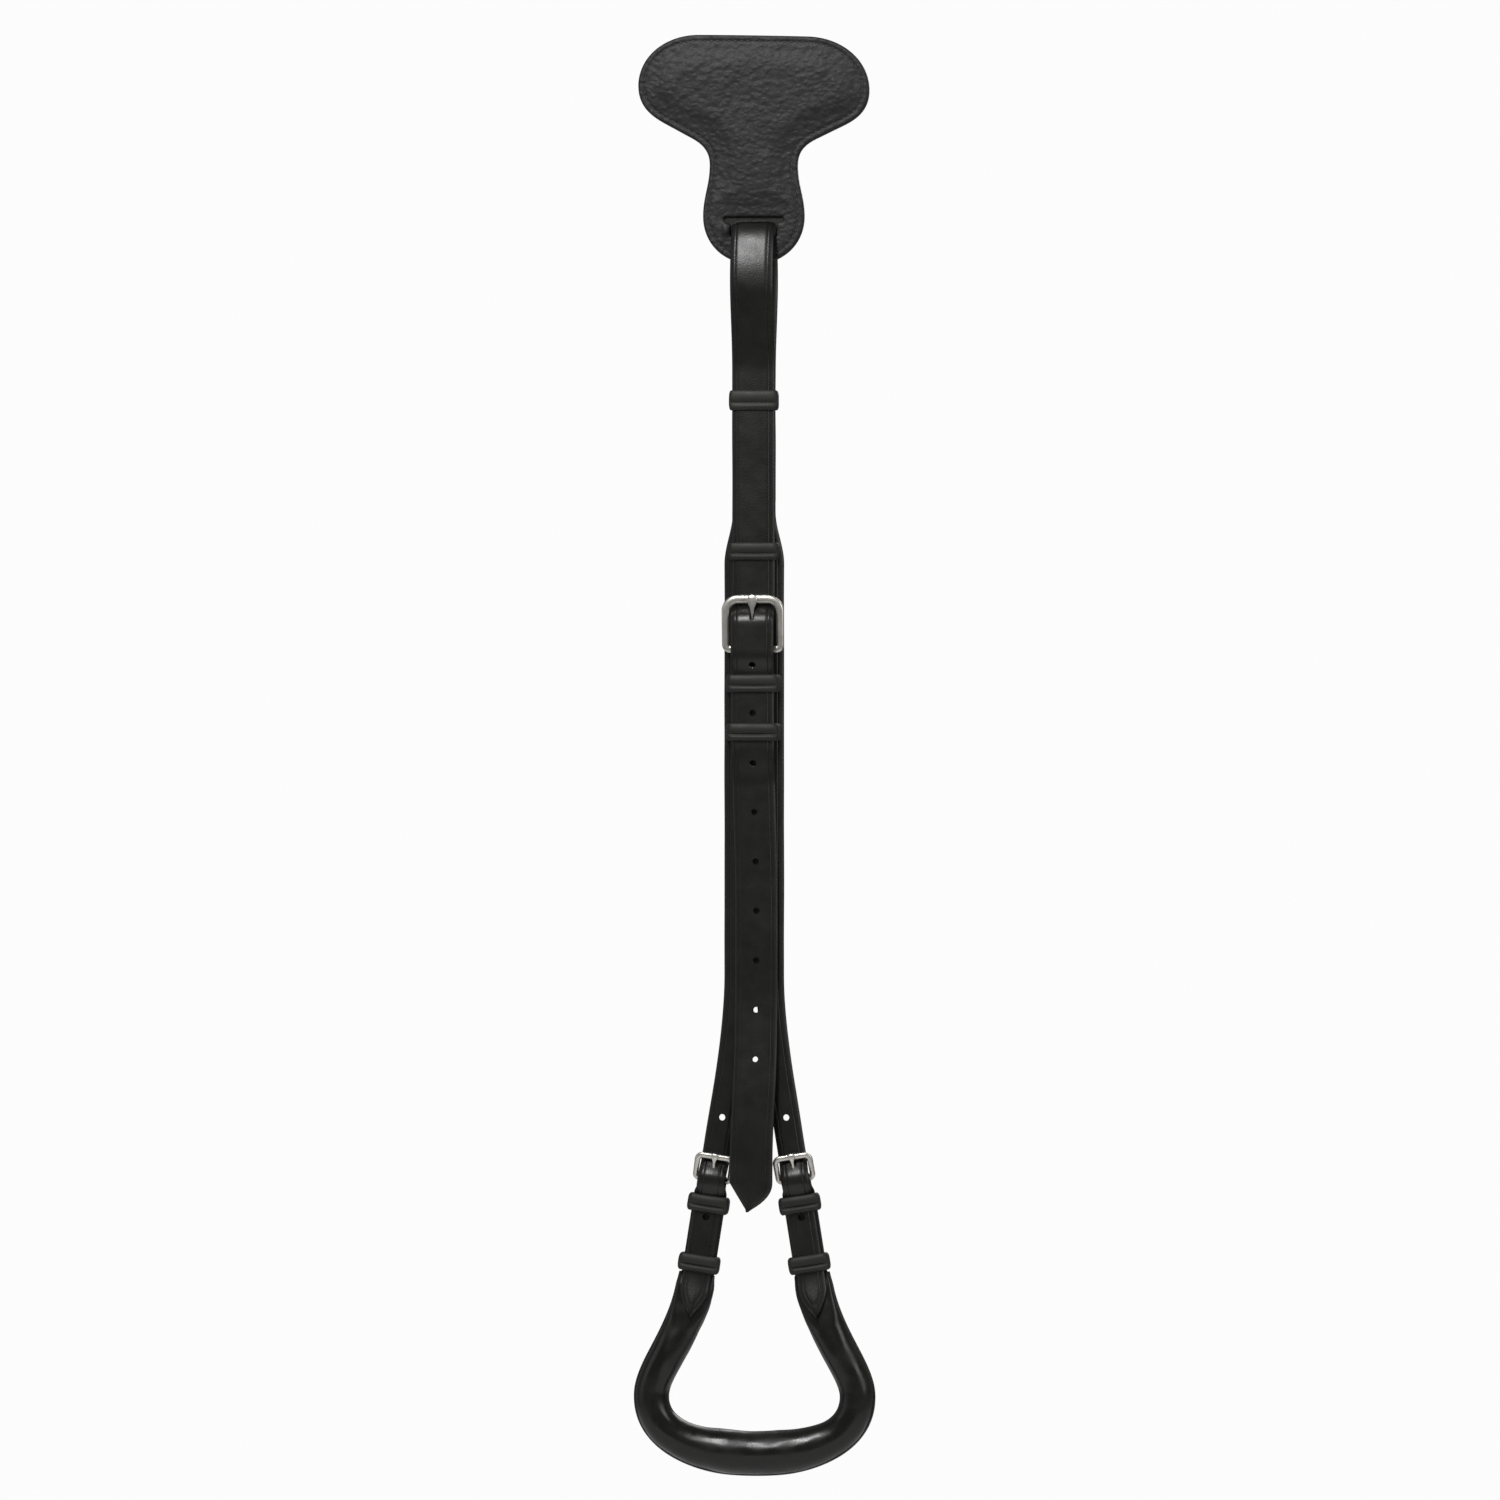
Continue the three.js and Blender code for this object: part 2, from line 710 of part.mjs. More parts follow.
function groupAt(parent, x, y, z, turnX = 0, turnY = 0) {
  const group = new THREE.Group();
  group.position.set(x, y, z);
  group.rotation.set(
    THREE.MathUtils.degToRad(turnX), THREE.MathUtils.degToRad(turnY), 0, "YXZ",
  );
  parent.add(group);
  return group;
}

for (const [name, geometry, finish] of tPad()) add(name, geometry, finish);

const rearBack = rearY + HALF;
const frontFace = frontY - HALF;
add("strap_loop", strapLoop(), leather);
add(
  "runner_keeper",
  band(runnerZ, 10, billetHalf + GAP, frontFace - GAP, rearBack + GAP, 1.25, 1.3),
  leather,
);
add("fork_strap", forkStrap(), leather);
add(
  "billet_upper",
  billetUpper(prongRoom(mainStart, mainTip, 2.0).translate(0, mainBarY, mainBarZ)),
  leather,
);
add("buckle_chape", mainChape(), leather);

const sewnBack = rearY - HALF - GAP;
add(
  "keeper_above_buckle",
  sewnKeeper(-233.5, 9, billetHalf + GAP, frontFace - GAP, sewnBack, 1.6, 1.4),
  leather,
);
for (const [name, z] of [["fixed_keeper_upper", -300.3], ["fixed_keeper_lower", -324.9]]) {
  const face = overChapeY - HALF - GAP;
  add(name, sewnKeeper(z, 9, billetHalf + 0.5, face, sewnBack, 2.1, 1.5), leather);
}

add("billet_end", billetEnd(), leather, groupAt(crupper, 0, 0, flapZ, 0, flapLean));

const mainBuckle = groupAt(crupper, 0, mainBarY, mainBarZ);
add(
  "main_buckle_frame",
  buckleFrame(mainArm, mainReach, mainWire, 6),
  nickel,
  groupAt(mainBuckle, 0, 0, 0, mainTilt),
);
add(
  "main_buckle_prong",
  prong(mainWire + prongPlay, 1.15, 2.2, mainStart, mainTip, 1.35, 0.9),
  nickel,
  mainBuckle,
);

for (const [side, sign] of [["left", -1], ["right", 1]]) {
  const strap = groupAt(crupper, sign * sideX, 0, sideZ, 0, -sign * sideTilt);
  strap.updateMatrix();
  add(`tail_end_${side}`, tailEnd(strap.matrix), leather);
  add(`dock_strap_${side}`, dockStrap(), leather, strap);
  const around = [
    dockStrapHalf + 0.5, overDockStrapY - HALF - GAP, sideBarY + sideFoldRadius + GAP, 2.0, 1.5,
  ];
  add(`side_keeper_${side}`, band(-12.3, 8.5, ...around), leather, strap);
  add(`side_runner_${side}`, band(-42.8, 8.5, ...around), leather, strap);
  const buckle = groupAt(strap, 0, sideBarY, 0);
  add(
    `side_buckle_frame_${side}`,
    buckleFrame(sideArm, sideReach, sideWire, 3),
    nickel,
    groupAt(buckle, 0, 0, 0, sideBuckleTilt),
  );
  add(
    `side_buckle_prong_${side}`,
    prong(sideWire + prongPlay, 1.0, 1.8, sideStart, sideTip, 1.05, 0.75),
    nickel,
    buckle,
  );
}

for (const [name, geometry, finish] of dock()) add(name, geometry, finish);

export default crupper;
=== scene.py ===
import json
import math
from collections import namedtuple

import bmesh
import bpy
import numpy as np
from mathutils import Matrix, Vector, noise
from mathutils.geometry import delaunay_2d_cdt


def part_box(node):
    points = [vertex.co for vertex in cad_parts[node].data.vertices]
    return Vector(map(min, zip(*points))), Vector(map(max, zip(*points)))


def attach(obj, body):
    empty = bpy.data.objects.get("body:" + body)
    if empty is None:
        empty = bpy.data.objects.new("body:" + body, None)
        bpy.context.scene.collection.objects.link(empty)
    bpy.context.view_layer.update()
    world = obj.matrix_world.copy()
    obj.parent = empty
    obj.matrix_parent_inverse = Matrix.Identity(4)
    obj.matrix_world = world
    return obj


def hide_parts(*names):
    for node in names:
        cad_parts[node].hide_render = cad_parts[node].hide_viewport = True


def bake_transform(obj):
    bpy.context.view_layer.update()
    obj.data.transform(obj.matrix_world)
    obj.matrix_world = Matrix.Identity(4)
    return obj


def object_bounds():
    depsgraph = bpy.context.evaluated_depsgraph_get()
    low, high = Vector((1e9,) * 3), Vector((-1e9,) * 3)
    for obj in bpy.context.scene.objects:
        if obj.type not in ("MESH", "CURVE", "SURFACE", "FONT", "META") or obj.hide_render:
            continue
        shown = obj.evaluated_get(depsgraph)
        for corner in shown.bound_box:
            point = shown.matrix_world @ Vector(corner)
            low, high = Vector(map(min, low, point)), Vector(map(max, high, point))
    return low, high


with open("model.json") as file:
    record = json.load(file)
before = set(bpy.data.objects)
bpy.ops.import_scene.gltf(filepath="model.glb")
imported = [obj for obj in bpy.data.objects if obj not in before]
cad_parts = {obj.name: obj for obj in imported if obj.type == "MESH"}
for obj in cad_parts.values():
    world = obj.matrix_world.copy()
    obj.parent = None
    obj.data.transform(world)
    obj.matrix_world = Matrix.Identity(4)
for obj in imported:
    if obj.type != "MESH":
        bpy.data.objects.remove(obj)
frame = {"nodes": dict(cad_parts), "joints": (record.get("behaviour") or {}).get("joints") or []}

cad_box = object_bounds()
MM = 0.001
ACROSS = Vector((1, 0, 0))
FRONT = Vector((0, -1, 0))
BACK = Vector((0, 1, 0))
UP = Vector((0, 0, 1))


# ---------------------------------------------------------------- places taken from the frame
def extent(node):
    """The lowest and highest corner of a CAD node, in millimetres."""
    low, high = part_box(node)
    return low / MM, high / MM


hinge = {
    joint["name"]: Vector(joint["pos_m"]) / MM for joint in frame["joints"] if joint["type"] == "hinge"
}

GAP = 0.3  # that the CAD solids keep to each other
loop_low, loop_high = extent("strap_loop")
fork_low, fork_high = extent("fork_strap")
LEATHER = fork_high.y - fork_low.y
HALF = LEATHER / 2
REAR_Y = (fork_low.y + fork_high.y) / 2
MID_Y = (loop_low.y + loop_high.y) / 2
FRONT_Y = 2 * MID_Y - REAR_Y
BILLET = loop_high.x  # half width
ARCH_REACH = (loop_high.y - loop_low.y) / 2 - HALF  # half the depth of the arch through the pad
ARCH_TOP = loop_high.z - HALF
ARCH_Z = -97.0  # its widest level
MEET_Z = -143.0  # where the two halves of the strap come together
RUNNER_Z = -157.1

BEND = hinge["strap_bend"]
FLAP = hinge["billet_flap"]
DOCK_HINGE = hinge["dock_swing"]
MAIN_BAR = hinge["main_buckle_tilt"]
SIDE_BAR = hinge["right_buckle_tilt"]

OVER_BAR_Y = extent("billet_upper")[0].y + HALF
OVER_CHAPE_Y = FLAP.y
OVER_BUCKLES_Y = extent("billet_end")[0].y + HALF
BILLET_TIP = extent("billet_end")[0].z
BILLET_LEAN = math.radians(0.25)  # the free end hangs a little out of plumb
HOLE_PITCH = 25.0
FIRST_HOLE_Z = -290.4
HOLE = 1.45  # radius

LOOP_CUT_Z = -208.0  # the strap's meshes meet here behind
KEEPER_CUT_Z = -233.5  # and under the keeper above the buckle in front
SHOULDER_TOP = -213.5
SHOULDER_BOTTOM = -240.0
WIDE = 15.2  # half width below the shoulders
TAIL = 7.15  # half width of a tail
SLIT_TOP = -447.0

SIDE_LEAN = math.radians(9.0)
SIDE_KEEPER_FACE = 1.5
SIDE_FOLD = 3.15  # outer radius of a dock strap's fold round a side buckle's bar
OVER_DOCK_STRAP_Y = extent("side_keeper_right")[0].y + SIDE_KEEPER_FACE + GAP + HALF
OVER_SIDE_BAR_Y = SIDE_BAR.y - 4.95
# Levels along a side strap, measured up from the side buckle's bar.
SIDE_KEEPER = -12.3
SIDE_RUNNER = -42.8
COLLAR = -48.3  # where the dock's leather is drawn up to, round the strap
MOUTH = -52.5
TAIL_TIP = -70.4


# ---------------------------------------------------------------- small maths
def mix(a, b, t):
    """From a to b as t goes from 0 to 1."""
    return a + (b - a) * t


def smooth(value, low, high):
    """0 up to the low value, 1 from the high value on, and eased between them."""
    t = min(max((value - low) / (high - low), 0.0), 1.0)
    return t * t * (3 - 2 * t)


def bezier(points, count):
    """Points along a Bezier curve of any order, its two ends included."""
    found = []
    for i in range(count + 1):
        level = list(points)
        while len(level) > 1:
            level = [a.lerp(b, i / count) for a, b in zip(level, level[1:])]
        found.append(level[0])
    return found


def resampled(points, step):
    """The same polyline with its points a step apart."""
    lengths = [0.0]
    for a, b in zip(points, points[1:]):
        lengths.append(lengths[-1] + (b - a).length)
    count = max(2, round(lengths[-1] / step))
    found = []
    k = 0
    for i in range(count + 1):
        want = lengths[-1] * i / count
        while k < len(points) - 2 and lengths[k + 1] < want:
            k += 1
        span = lengths[k + 1] - lengths[k]
        found.append(points[k].lerp(points[k + 1], (want - lengths[k]) / span if span else 0.0))
    return found


def eased_y(levels, z):
    """Depth of a strap at a height: each level is (z, y), and the strap eases between levels."""
    for (z0, y0), (z1, y1) in zip(levels, levels[1:]):
        if z >= z1:
            return mix(y0, y1, smooth(z0 - z, 0.0, z0 - z1))
    return levels[-1][1]


def direction(path, i):
    """Unit direction of a path at its point i."""
    return (path[min(i + 1, len(path) - 1)] - path[max(i - 1, 0)]).normalized()


def arc(middle, radius, start, end, count, first, second):
    """(point, outwards) round part of a circle, in degrees from the first axis to the second."""
    found = []
    for k in range(count):
        angle = math.radians(mix(start, end, k / (count - 1)))
        out = first * math.cos(angle) + second * math.sin(angle)
        found.append((middle + out * radius, out))
    return found


def oval(middle, first, second, count, power=1.0, start=0.0):
    """A closed ring with two vectors as its radii. A power under 1 makes it squarer."""
    ring = []
    for k in range(count):
        angle = 2 * math.pi * (k + start) / count
        u, v = (math.copysign(abs(c) ** power, c) for c in (math.cos(angle), math.sin(angle)))
        ring.append(middle + first * u + second * v)
    return ring


# ---------------------------------------------------------------- materials
class Finish:
    """A node material, with short calls to add its nodes."""

    def __init__(self, name):
        self.material = bpy.data.materials.new(name)
        self.material.use_nodes = True
        self.tree = self.material.node_tree
        self.shader = self.tree.nodes["Principled BSDF"]
        self.place = self.add("ShaderNodeTexCoord").outputs["Object"]

    def feed(self, socket, value):
        """Links an input to another node's output, or sets its value."""
        if isinstance(value, bpy.types.NodeSocket):
            self.tree.links.new(value, socket)
        else:
            socket.default_value = value

    def add(self, kind, sockets=None, **settings):
        node = self.tree.nodes.new(kind)
        for key, value in settings.items():
            setattr(node, key, value)
        for key, value in (sockets or {}).items():
            self.feed(node.inputs[key], value)
        return node

    def set(self, **sockets):
        """Sets the shader's inputs, and gives the material."""
        for key, value in sockets.items():
            self.feed(self.shader.inputs[key.replace("_", " ")], value)
        return self.material

    def noise(self, size, detail=3.0, roughness=0.5, place=None, output="Fac"):
        """Noise whose blotches are about size millimetres across."""
        sockets = {"Vector": place or self.place, "Scale": 1 / (size * MM)}
        sockets.update(Detail=detail, Roughness=roughness)
        return self.add("ShaderNodeTexNoise", sockets).outputs[output]

    def cells(self, size, place, smoothness=0.6):
        """Distance from the middle of rounded cells about size millimetres across."""
        sockets = {"Vector": place, "Scale": 1 / (size * MM), "Smoothness": smoothness}
        return self.add("ShaderNodeTexVoronoi", sockets, feature="SMOOTH_F1").outputs["Distance"]

    def ramp(self, value, stops):
        """Value or colour by stops, each (position, value or colour)."""
        node = self.add("ShaderNodeValToRGB", {"Fac": value})
        marks = node.color_ramp.elements
        while len(marks) < len(stops):
            marks.new(0.5)
        for mark, (position, colour) in zip(marks, stops):
            mark.position = position
            if not isinstance(colour, tuple):
                colour = (colour, colour, colour)
            mark.color = (*colour, 1.0)
        return node.outputs["Color"]

    def blotches(self, size, dark, light):
        """A colour that wanders between two tones, over about size millimetres."""
        return self.ramp(self.noise(size, detail=4.0), [(0.3, dark), (0.7, light)])

    def turning(self, stops):
        """A ramp by how the surface turns: under 0.5 in its creases, over 0.5 on its edges."""
        return self.ramp(self.add("ShaderNodeNewGeometry").outputs["Pointiness"], stops)

    def maths(self, operation, first, second):
        return self.add("ShaderNodeMath", {0: first, 1: second}, operation=operation).outputs["Value"]

    def blend(self, factor, first, second):
        """The second colour over the first, by the factor."""
        node = self.add("ShaderNodeMix", {0: factor, 6: first, 7: second}, data_type="RGBA")
        return node.outputs[2]  # 6, 7 and 2 are the node's sockets for colours

    def stretched(self, scale, place=None, turn=0.0):
        """The place with its axes scaled, and turned about Y in degrees."""
        rotation = (0.0, math.radians(turn), 0.0)
        sockets = {"Vector": place or self.place, "Rotation": rotation, "Scale": scale}
        return self.add("ShaderNodeMapping", sockets).outputs["Vector"]

    def moved(self, amount, size):
        """The place, pushed about by noise, so that cells lose their even shape."""
        sockets = {0: self.noise(size, detail=2.0, output="Color"), 1: (amount * MM,) * 3}
        push = self.add("ShaderNodeVectorMath", sockets, operation="MULTIPLY").outputs["Vector"]
        sockets = {0: self.place, 1: push}
        return self.add("ShaderNodeVectorMath", sockets, operation="ADD").outputs["Vector"]

    def bump(self, height, depth, strength, normal=None):
        """A bump whose full height is depth millimetres."""
        sockets = {"Height": height, "Distance": depth * MM, "Strength": strength}
        if normal is not None:
            sockets["Normal"] = normal
        return self.add("ShaderNodeBump", sockets).outputs["Normal"]


def strap_leather(name, lift, polished, dull):
    """Dyed bridle leather: a tight fine grain under wax, with painted shade darkening its creases."""
    finish = Finish(name)
    dark = tuple(lift * c for c in (0.0040, 0.0040, 0.0032))
    light = tuple(lift * c for c in (0.0072, 0.0070, 0.0058))
    # painted shade: the colour is darkened where the surface is concave, in the creases and grooves
    crease_shade = finish.turning([(0.40, 1.0), (0.485, 0.0)])
    colour = finish.blend(crease_shade, finish.blotches(19, dark, light), (0.0015, 0.0015, 0.0012, 1.0))
    roughness = finish.ramp(finish.noise(7, detail=5.0), [(0.25, polished), (0.75, dull)])
    grain = finish.maths(
        "ADD", finish.cells(0.9, finish.moved(0.5, 1.4)), finish.noise(0.5, detail=4.0)
    )
    normal = finish.bump(finish.noise(6.5), 0.10, 0.55, finish.bump(grain, 0.05, 0.55))
    return finish.set(Base_Color=colour, Roughness=roughness, Normal=normal, Specular_IOR_Level=0.45)


def pebbled_leather():
    """Soft leather with a pebbled grain that runs aslant, darker in its furrows."""
    finish = Finish("pebbled_leather")
    aslant = finish.stretched((0.8, 1.0, 1.1), finish.moved(3.0, 4.5), turn=-40)
    pebbles = finish.ramp(finish.cells(2.5, aslant, 0.85), [(0.0, 1.0), (0.85, 0.0)])
    fine = finish.noise(0.8, detail=4.0, roughness=0.6)
    body = finish.blotches(16, (0.0074, 0.0075, 0.0072), (0.0120, 0.0120, 0.0118))
    furrows = finish.ramp(pebbles, [(0.25, 1.0), (0.7, 0.0)])
    colour = finish.blend(furrows, body, (0.0065, 0.0065, 0.0062, 1.0))
    roughness = finish.ramp(fine, [(0.3, 0.50), (0.75, 0.66)])
    normal = finish.bump(finish.maths("ADD", pebbles, finish.maths("MULTIPLY", fine, 0.35)), 0.42, 0.8)
    return finish.set(Base_Color=colour, Roughness=roughness, Normal=normal, Specular_IOR_Level=0.4)


def rolled_leather():
    """Polished leather stretched round the stuffed dock: glossy, with soft dents and fine pores."""
    finish = Finish("rolled_leather")
    body = finish.blotches(23, (0.0046, 0.0049, 0.0036), (0.0082, 0.0082, 0.0066))
    worn = finish.turning([(0.53, 0.0), (0.64, 1.0)])
    roughness = finish.ramp(finish.noise(13, detail=4.0), [(0.38, 0.21), (0.62, 0.42)])
    pores = finish.maths("ADD", finish.cells(0.8, finish.moved(0.4, 1.2)), finish.noise(0.4))
    dents = finish.noise(9, detail=2.0)
    return finish.set(
        Base_Color=finish.blend(worn, body, (0.020, 0.020, 0.017, 1.0)),
        Roughness=roughness,
        Normal=finish.bump(dents, 0.35, 0.5, finish.bump(pores, 0.03, 0.4)),
        Specular_IOR_Level=0.35,
        Coat_Weight=0.06,
        Coat_Roughness=0.12,
    )


def nickel():
    """Nickel plate with a satin shine, fine handling scratches and a little warmth."""
    finish = Finish("nickel")
    colour = finish.blotches(5, (0.60, 0.57, 0.515), (0.72, 0.695, 0.645))
    scratches = finish.noise(0.35, detail=5.0, place=finish.stretched((0.25, 1.0, 1.0)))
    roughness = finish.ramp(scratches, [(0.3, 0.34), (0.8, 0.46)])
    normal = finish.bump(scratches, 0.006, 0.2)
    return finish.set(Base_Color=colour, Metallic=1.0, Roughness=roughness, Normal=normal)


def waxed_thread():
    """Black waxed linen thread with its twist."""
    finish = Finish("waxed_thread")
    sockets = {"Vector": finish.place, "Scale": 420.0, "Distortion": 1.5, "Detail": 2.0}
    twist = finish.add("ShaderNodeTexWave", sockets, bands_direction="DIAGONAL").outputs["Fac"]
    colour = finish.ramp(twist, [(0.2, (0.012, 0.012, 0.011)), (0.8, (0.040, 0.040, 0.037))])
    return finish.set(Base_Color=colour, Roughness=0.55, Normal=finish.bump(twist, 0.08, 0.6))


def mill_steel():
    """The bare plate inside the pad, rolled and lightly oiled."""
    finish = Finish("mill_steel")
    lines = finish.noise(0.6, detail=5.0, place=finish.stretched((1.0, 1.0, 0.1)))
    colour = finish.ramp(lines, [(0.3, (0.20, 0.20, 0.21)), (0.8, (0.34, 0.34, 0.35))])
    roughness = finish.ramp(lines, [(0.2, 0.35), (0.8, 0.55)])
    return finish.set(Base_Color=colour, Metallic=1.0, Roughness=roughness)


def flax():
    """The dock's stuffing."""
    finish = Finish("flax")
    fibres = finish.noise(1.2, detail=8.0, roughness=0.7)
    colour = finish.ramp(fibres, [(0.3, (0.20, 0.15, 0.08)), (0.75, (0.42, 0.34, 0.20))])
    return finish.set(Base_Color=colour, Roughness=0.95, Normal=finish.bump(fibres, 0.8, 0.9))


BLACK = strap_leather("strap_leather", 1.0, 0.30, 0.41)
KEEPER = strap_leather("keeper_leather", 1.6, 0.54, 0.64)
PEBBLED = pebbled_leather()
ROLLED = rolled_leather()
NICKEL = nickel()
THREAD = waxed_thread()


# ---------------------------------------------------------------- meshes
def shaded(obj, degrees=38):
    """Smooth, with an edge kept wherever two faces meet more sharply than this."""
    obj.data.shade_smooth()
    obj.data.set_sharp_from_angle(angle=math.radians(degrees))
    return obj


def made(name, body, finish):
    """A piece from a bmesh in millimetres."""
    bmesh.ops.recalc_face_normals(body, faces=body.faces)
    bmesh.ops.scale(body, vec=(MM, MM, MM), verts=body.verts)
    mesh = bpy.data.meshes.new(name)
    body.to_mesh(mesh)
    body.free()
    mesh.materials.append(finish)
    obj = bpy.data.objects.new(name, mesh)
    bpy.context.scene.collection.objects.link(obj)
    return shaded(obj)


def tilted(body, degrees, place):
    """A body in millimetres, turned about the X axis and then moved from the origin to a place."""
    bmesh.ops.rotate(body, verts=body.verts, matrix=Matrix.Rotation(math.radians(degrees), 3, "X"))
    bmesh.ops.translate(body, verts=body.verts, vec=place)
    return body


def skin(rings, looped=False, into=None):
    """A closed body through a row of rings. Its ends are capped unless it is looped."""
    body = into or bmesh.new()
    rows = [[body.verts.new(point) for point in ring] for ring in rings]
    size = len(rows[0])
    pairs = list(zip(rows, rows[1:]))
    if looped:
        pairs.append((rows[-1], rows[0]))
    for low, high in pairs:
        for k in range(size):
            n = (k + 1) % size
            body.faces.new((low[k], low[n], high[n], high[k]))
    if not looped:
        body.faces.new(rows[0])
        body.faces.new(rows[-1])
    return body


def carve(obj, tool):
    """Cuts the tool out of the piece, and removes the tool."""
    change = obj.modifiers.new("carve", "BOOLEAN")
    change.operation = "DIFFERENCE"
    change.solver = "EXACT"
    change.object = tool
    seen = obj.evaluated_get(bpy.context.evaluated_depsgraph_get())
    carved = bpy.data.meshes.new_from_object(seen)
    carved.name = obj.name
    obj.modifiers.clear()
    obj.data = carved
    bpy.data.objects.remove(tool)
    return shaded(obj)


def roughened(obj, size, depth, seed):
    """Small uneven swellings, as hand work leaves them: size and depth in millimetres."""
    normals = [v.normal.copy() for v in obj.data.vertices]
    shift = Vector((seed * 7.1, seed * 3.3, seed * 5.7))
    for vertex, normal in zip(obj.data.vertices, normals):
        at = vertex.co / (size * MM) + shift
        vertex.co += normal * (noise.noise(at) * depth * MM)
    obj.data.update()
    return obj


def punches(places, radius=HOLE):
    """Tools for round holes through straps, with eased rims: each place is (middle, outwards)."""
    rim = 0.3
    half = [(HALF - rim, 0.0), (HALF, rim), (HALF + 1.0, rim + 0.7)]
    steps = [(-depth, wider) for depth, wider in reversed(half)] + half
    body = bmesh.new()
    for place, out in places:
        up = out.cross(ACROSS)
        rings = []
        for depth, wider in steps:
            reach = radius + wider
            rings.append(oval(place + out * depth, ACROSS * reach, up * reach, 28))
        skin(rings, into=body)
    return made("punches", body, BLACK)


# ---------------------------------------------------------------- straps
# A station of a strap: the middle of its section, the directions across it and out of its face,
# and the half widths to its left and right edges.
Station = namedtuple("Station", "at across out left right")

# One edge of a strap's section from its front face to its middle plane: (in from the edge, below
# the face). A crease runs 3 mm in, and the border outside it slopes away to a rounded edge.
EDGE = [
    (4.6, 0.0), (3.5, 0.02), (3.2, 0.16), (3.0, 0.36), (2.8, 0.24), (2.5, 0.20),
    (1.8, 0.42), (1.1, 0.68), (0.5, 0.96), (0.12, 1.22), (0.0, 1.5),
]
CROWN = 0.10


def edge_points(width, thickness, seam):
    """Section points of one edge, front to back. seam is 1 where two halves join without an edge."""
    scale = min(1.0, width / (EDGE[0][0] + 0.2))
    half = thickness / 2
    front = []
    lowest = EDGE[-1][1]
    for inwards, below in EDGE:
        depth = below * half / lowest
        inwards *= scale
        if inwards < 0.3:
            inwards = mix(inwards, 0.0, seam)
        if below < lowest:
            depth = mix(depth, 0.0, seam)
        front.append((width - inwards, half - depth))
    return front + [(across, -out) for across, out in reversed(front[:-1])]


def section(station, thickness=LEATHER, seam=0.0):
    """The ring of a strap's section at a station. Its left edge may be a seam."""
    half = thickness / 2
    right = edge_points(station.right, thickness, 0.0)
    left = edge_points(station.left, thickness, seam)
    first, last = -left[0][0], right[0][0]
    ring = list(right)
    ring += [(mix(last, first, t), -half - CROWN) for t in (0.3, 0.5, 0.7)]
    ring += [(-across, out) for across, out in reversed(left)]
    ring += [(mix(first, last, t), half + CROWN) for t in (0.3, 0.5, 0.7)]
    return [station.at + station.across * u + station.out * v for u, v in ring]


def blunt(ring, by=0.45):
    """The last ring of a strap's end, drawn in so that the end is rounded."""
    middle = sum(ring, Vector()) / len(ring)
    return [middle.lerp(point, 1 - by) for point in ring]


def stations(path, width, across=None):
    """Stations along a path. width(i) gives the half widths at point i to the left and right."""
    found = []
    for i, at in enumerate(path):
        along = direction(path, i)
        side = Vector((-along.z, 0.0, along.x)).normalized() if across is None else across
        found.append(Station(at, side, along.cross(side).normalized(), *width(i)))
    return found


def plain_strap(name, path, width, across, thickness=LEATHER):
    """A strap along a path, with straight ends."""
    rings = [section(s, thickness) for s in stations(path, width, across)]
    return made(name, skin(rings), BLACK)


def pointed(width, to_tip, length, power=1.5):
    """Half width of a strap this far above its tip, where the point takes this length."""
    t = min(max(1 - to_tip / length, 0.0), 1.0)
    return max(0.6, width * (1 - t**power))


def facing(levels, z):
    """Out of the face of a strap whose depth eases between levels."""
    slope = eased_y(levels, z + 0.4) - eased_y(levels, z - 0.4)
    return Vector((0.0, -0.8, slope)).normalized()


def strap_top():
    """The strap through the pad's slot: up behind, over the bar and down in front."""
    rest = REAR_Y - MID_Y
    half = [Vector((0.0, rest, LOOP_CUT_Z)), Vector((0.0, rest, MEET_Z - 12))]
    for i in range(41):
        t = i / 40
        half.append(Vector((0.0, mix(rest, ARCH_REACH, smooth(t, 0, 1)), mix(MEET_Z, ARCH_Z, t))))
    for i in range(1, 31):
        angle = math.pi / 2 * i / 30
        rise = (ARCH_TOP - ARCH_Z) * math.sin(angle)
        half.append(Vector((0.0, ARCH_REACH * math.cos(angle), ARCH_Z + rise)))
    front = [Vector((0.0, -p.y, p.z)) for p in reversed(half[1:-1])]
    front.append(Vector((0.0, -rest, KEEPER_CUT_Z)))
    path = [p + BACK * MID_Y for p in resampled(half + front, 1.6)]
    return plain_strap("strap_top", path, lambda i: (BILLET, BILLET), ACROSS)


# Depth of the strap's front half by height: under the keeper, over the buckle's bar, its chape,
# and the fork, and at last over the side buckles.
BILLET_LEVELS = [
    (KEEPER_CUT_Z, FRONT_Y), (-258.3, FRONT_Y), (-269.0, OVER_BAR_Y), (MAIN_BAR.z - 1.5, OVER_BAR_Y),
    (-296.0, OVER_CHAPE_Y), (FLAP.z, OVER_CHAPE_Y), (FLAP.z - 20, FRONT_Y),
    (-455.0, FRONT_Y), (DOCK_HINGE.z, OVER_BUCKLES_Y), (BILLET_TIP - 1, OVER_BUCKLES_Y),
]
TONGUE_LIFTS = (-1.6, 0, 3, 6, 8.2)  # degrees through which the tongue has room in the strap


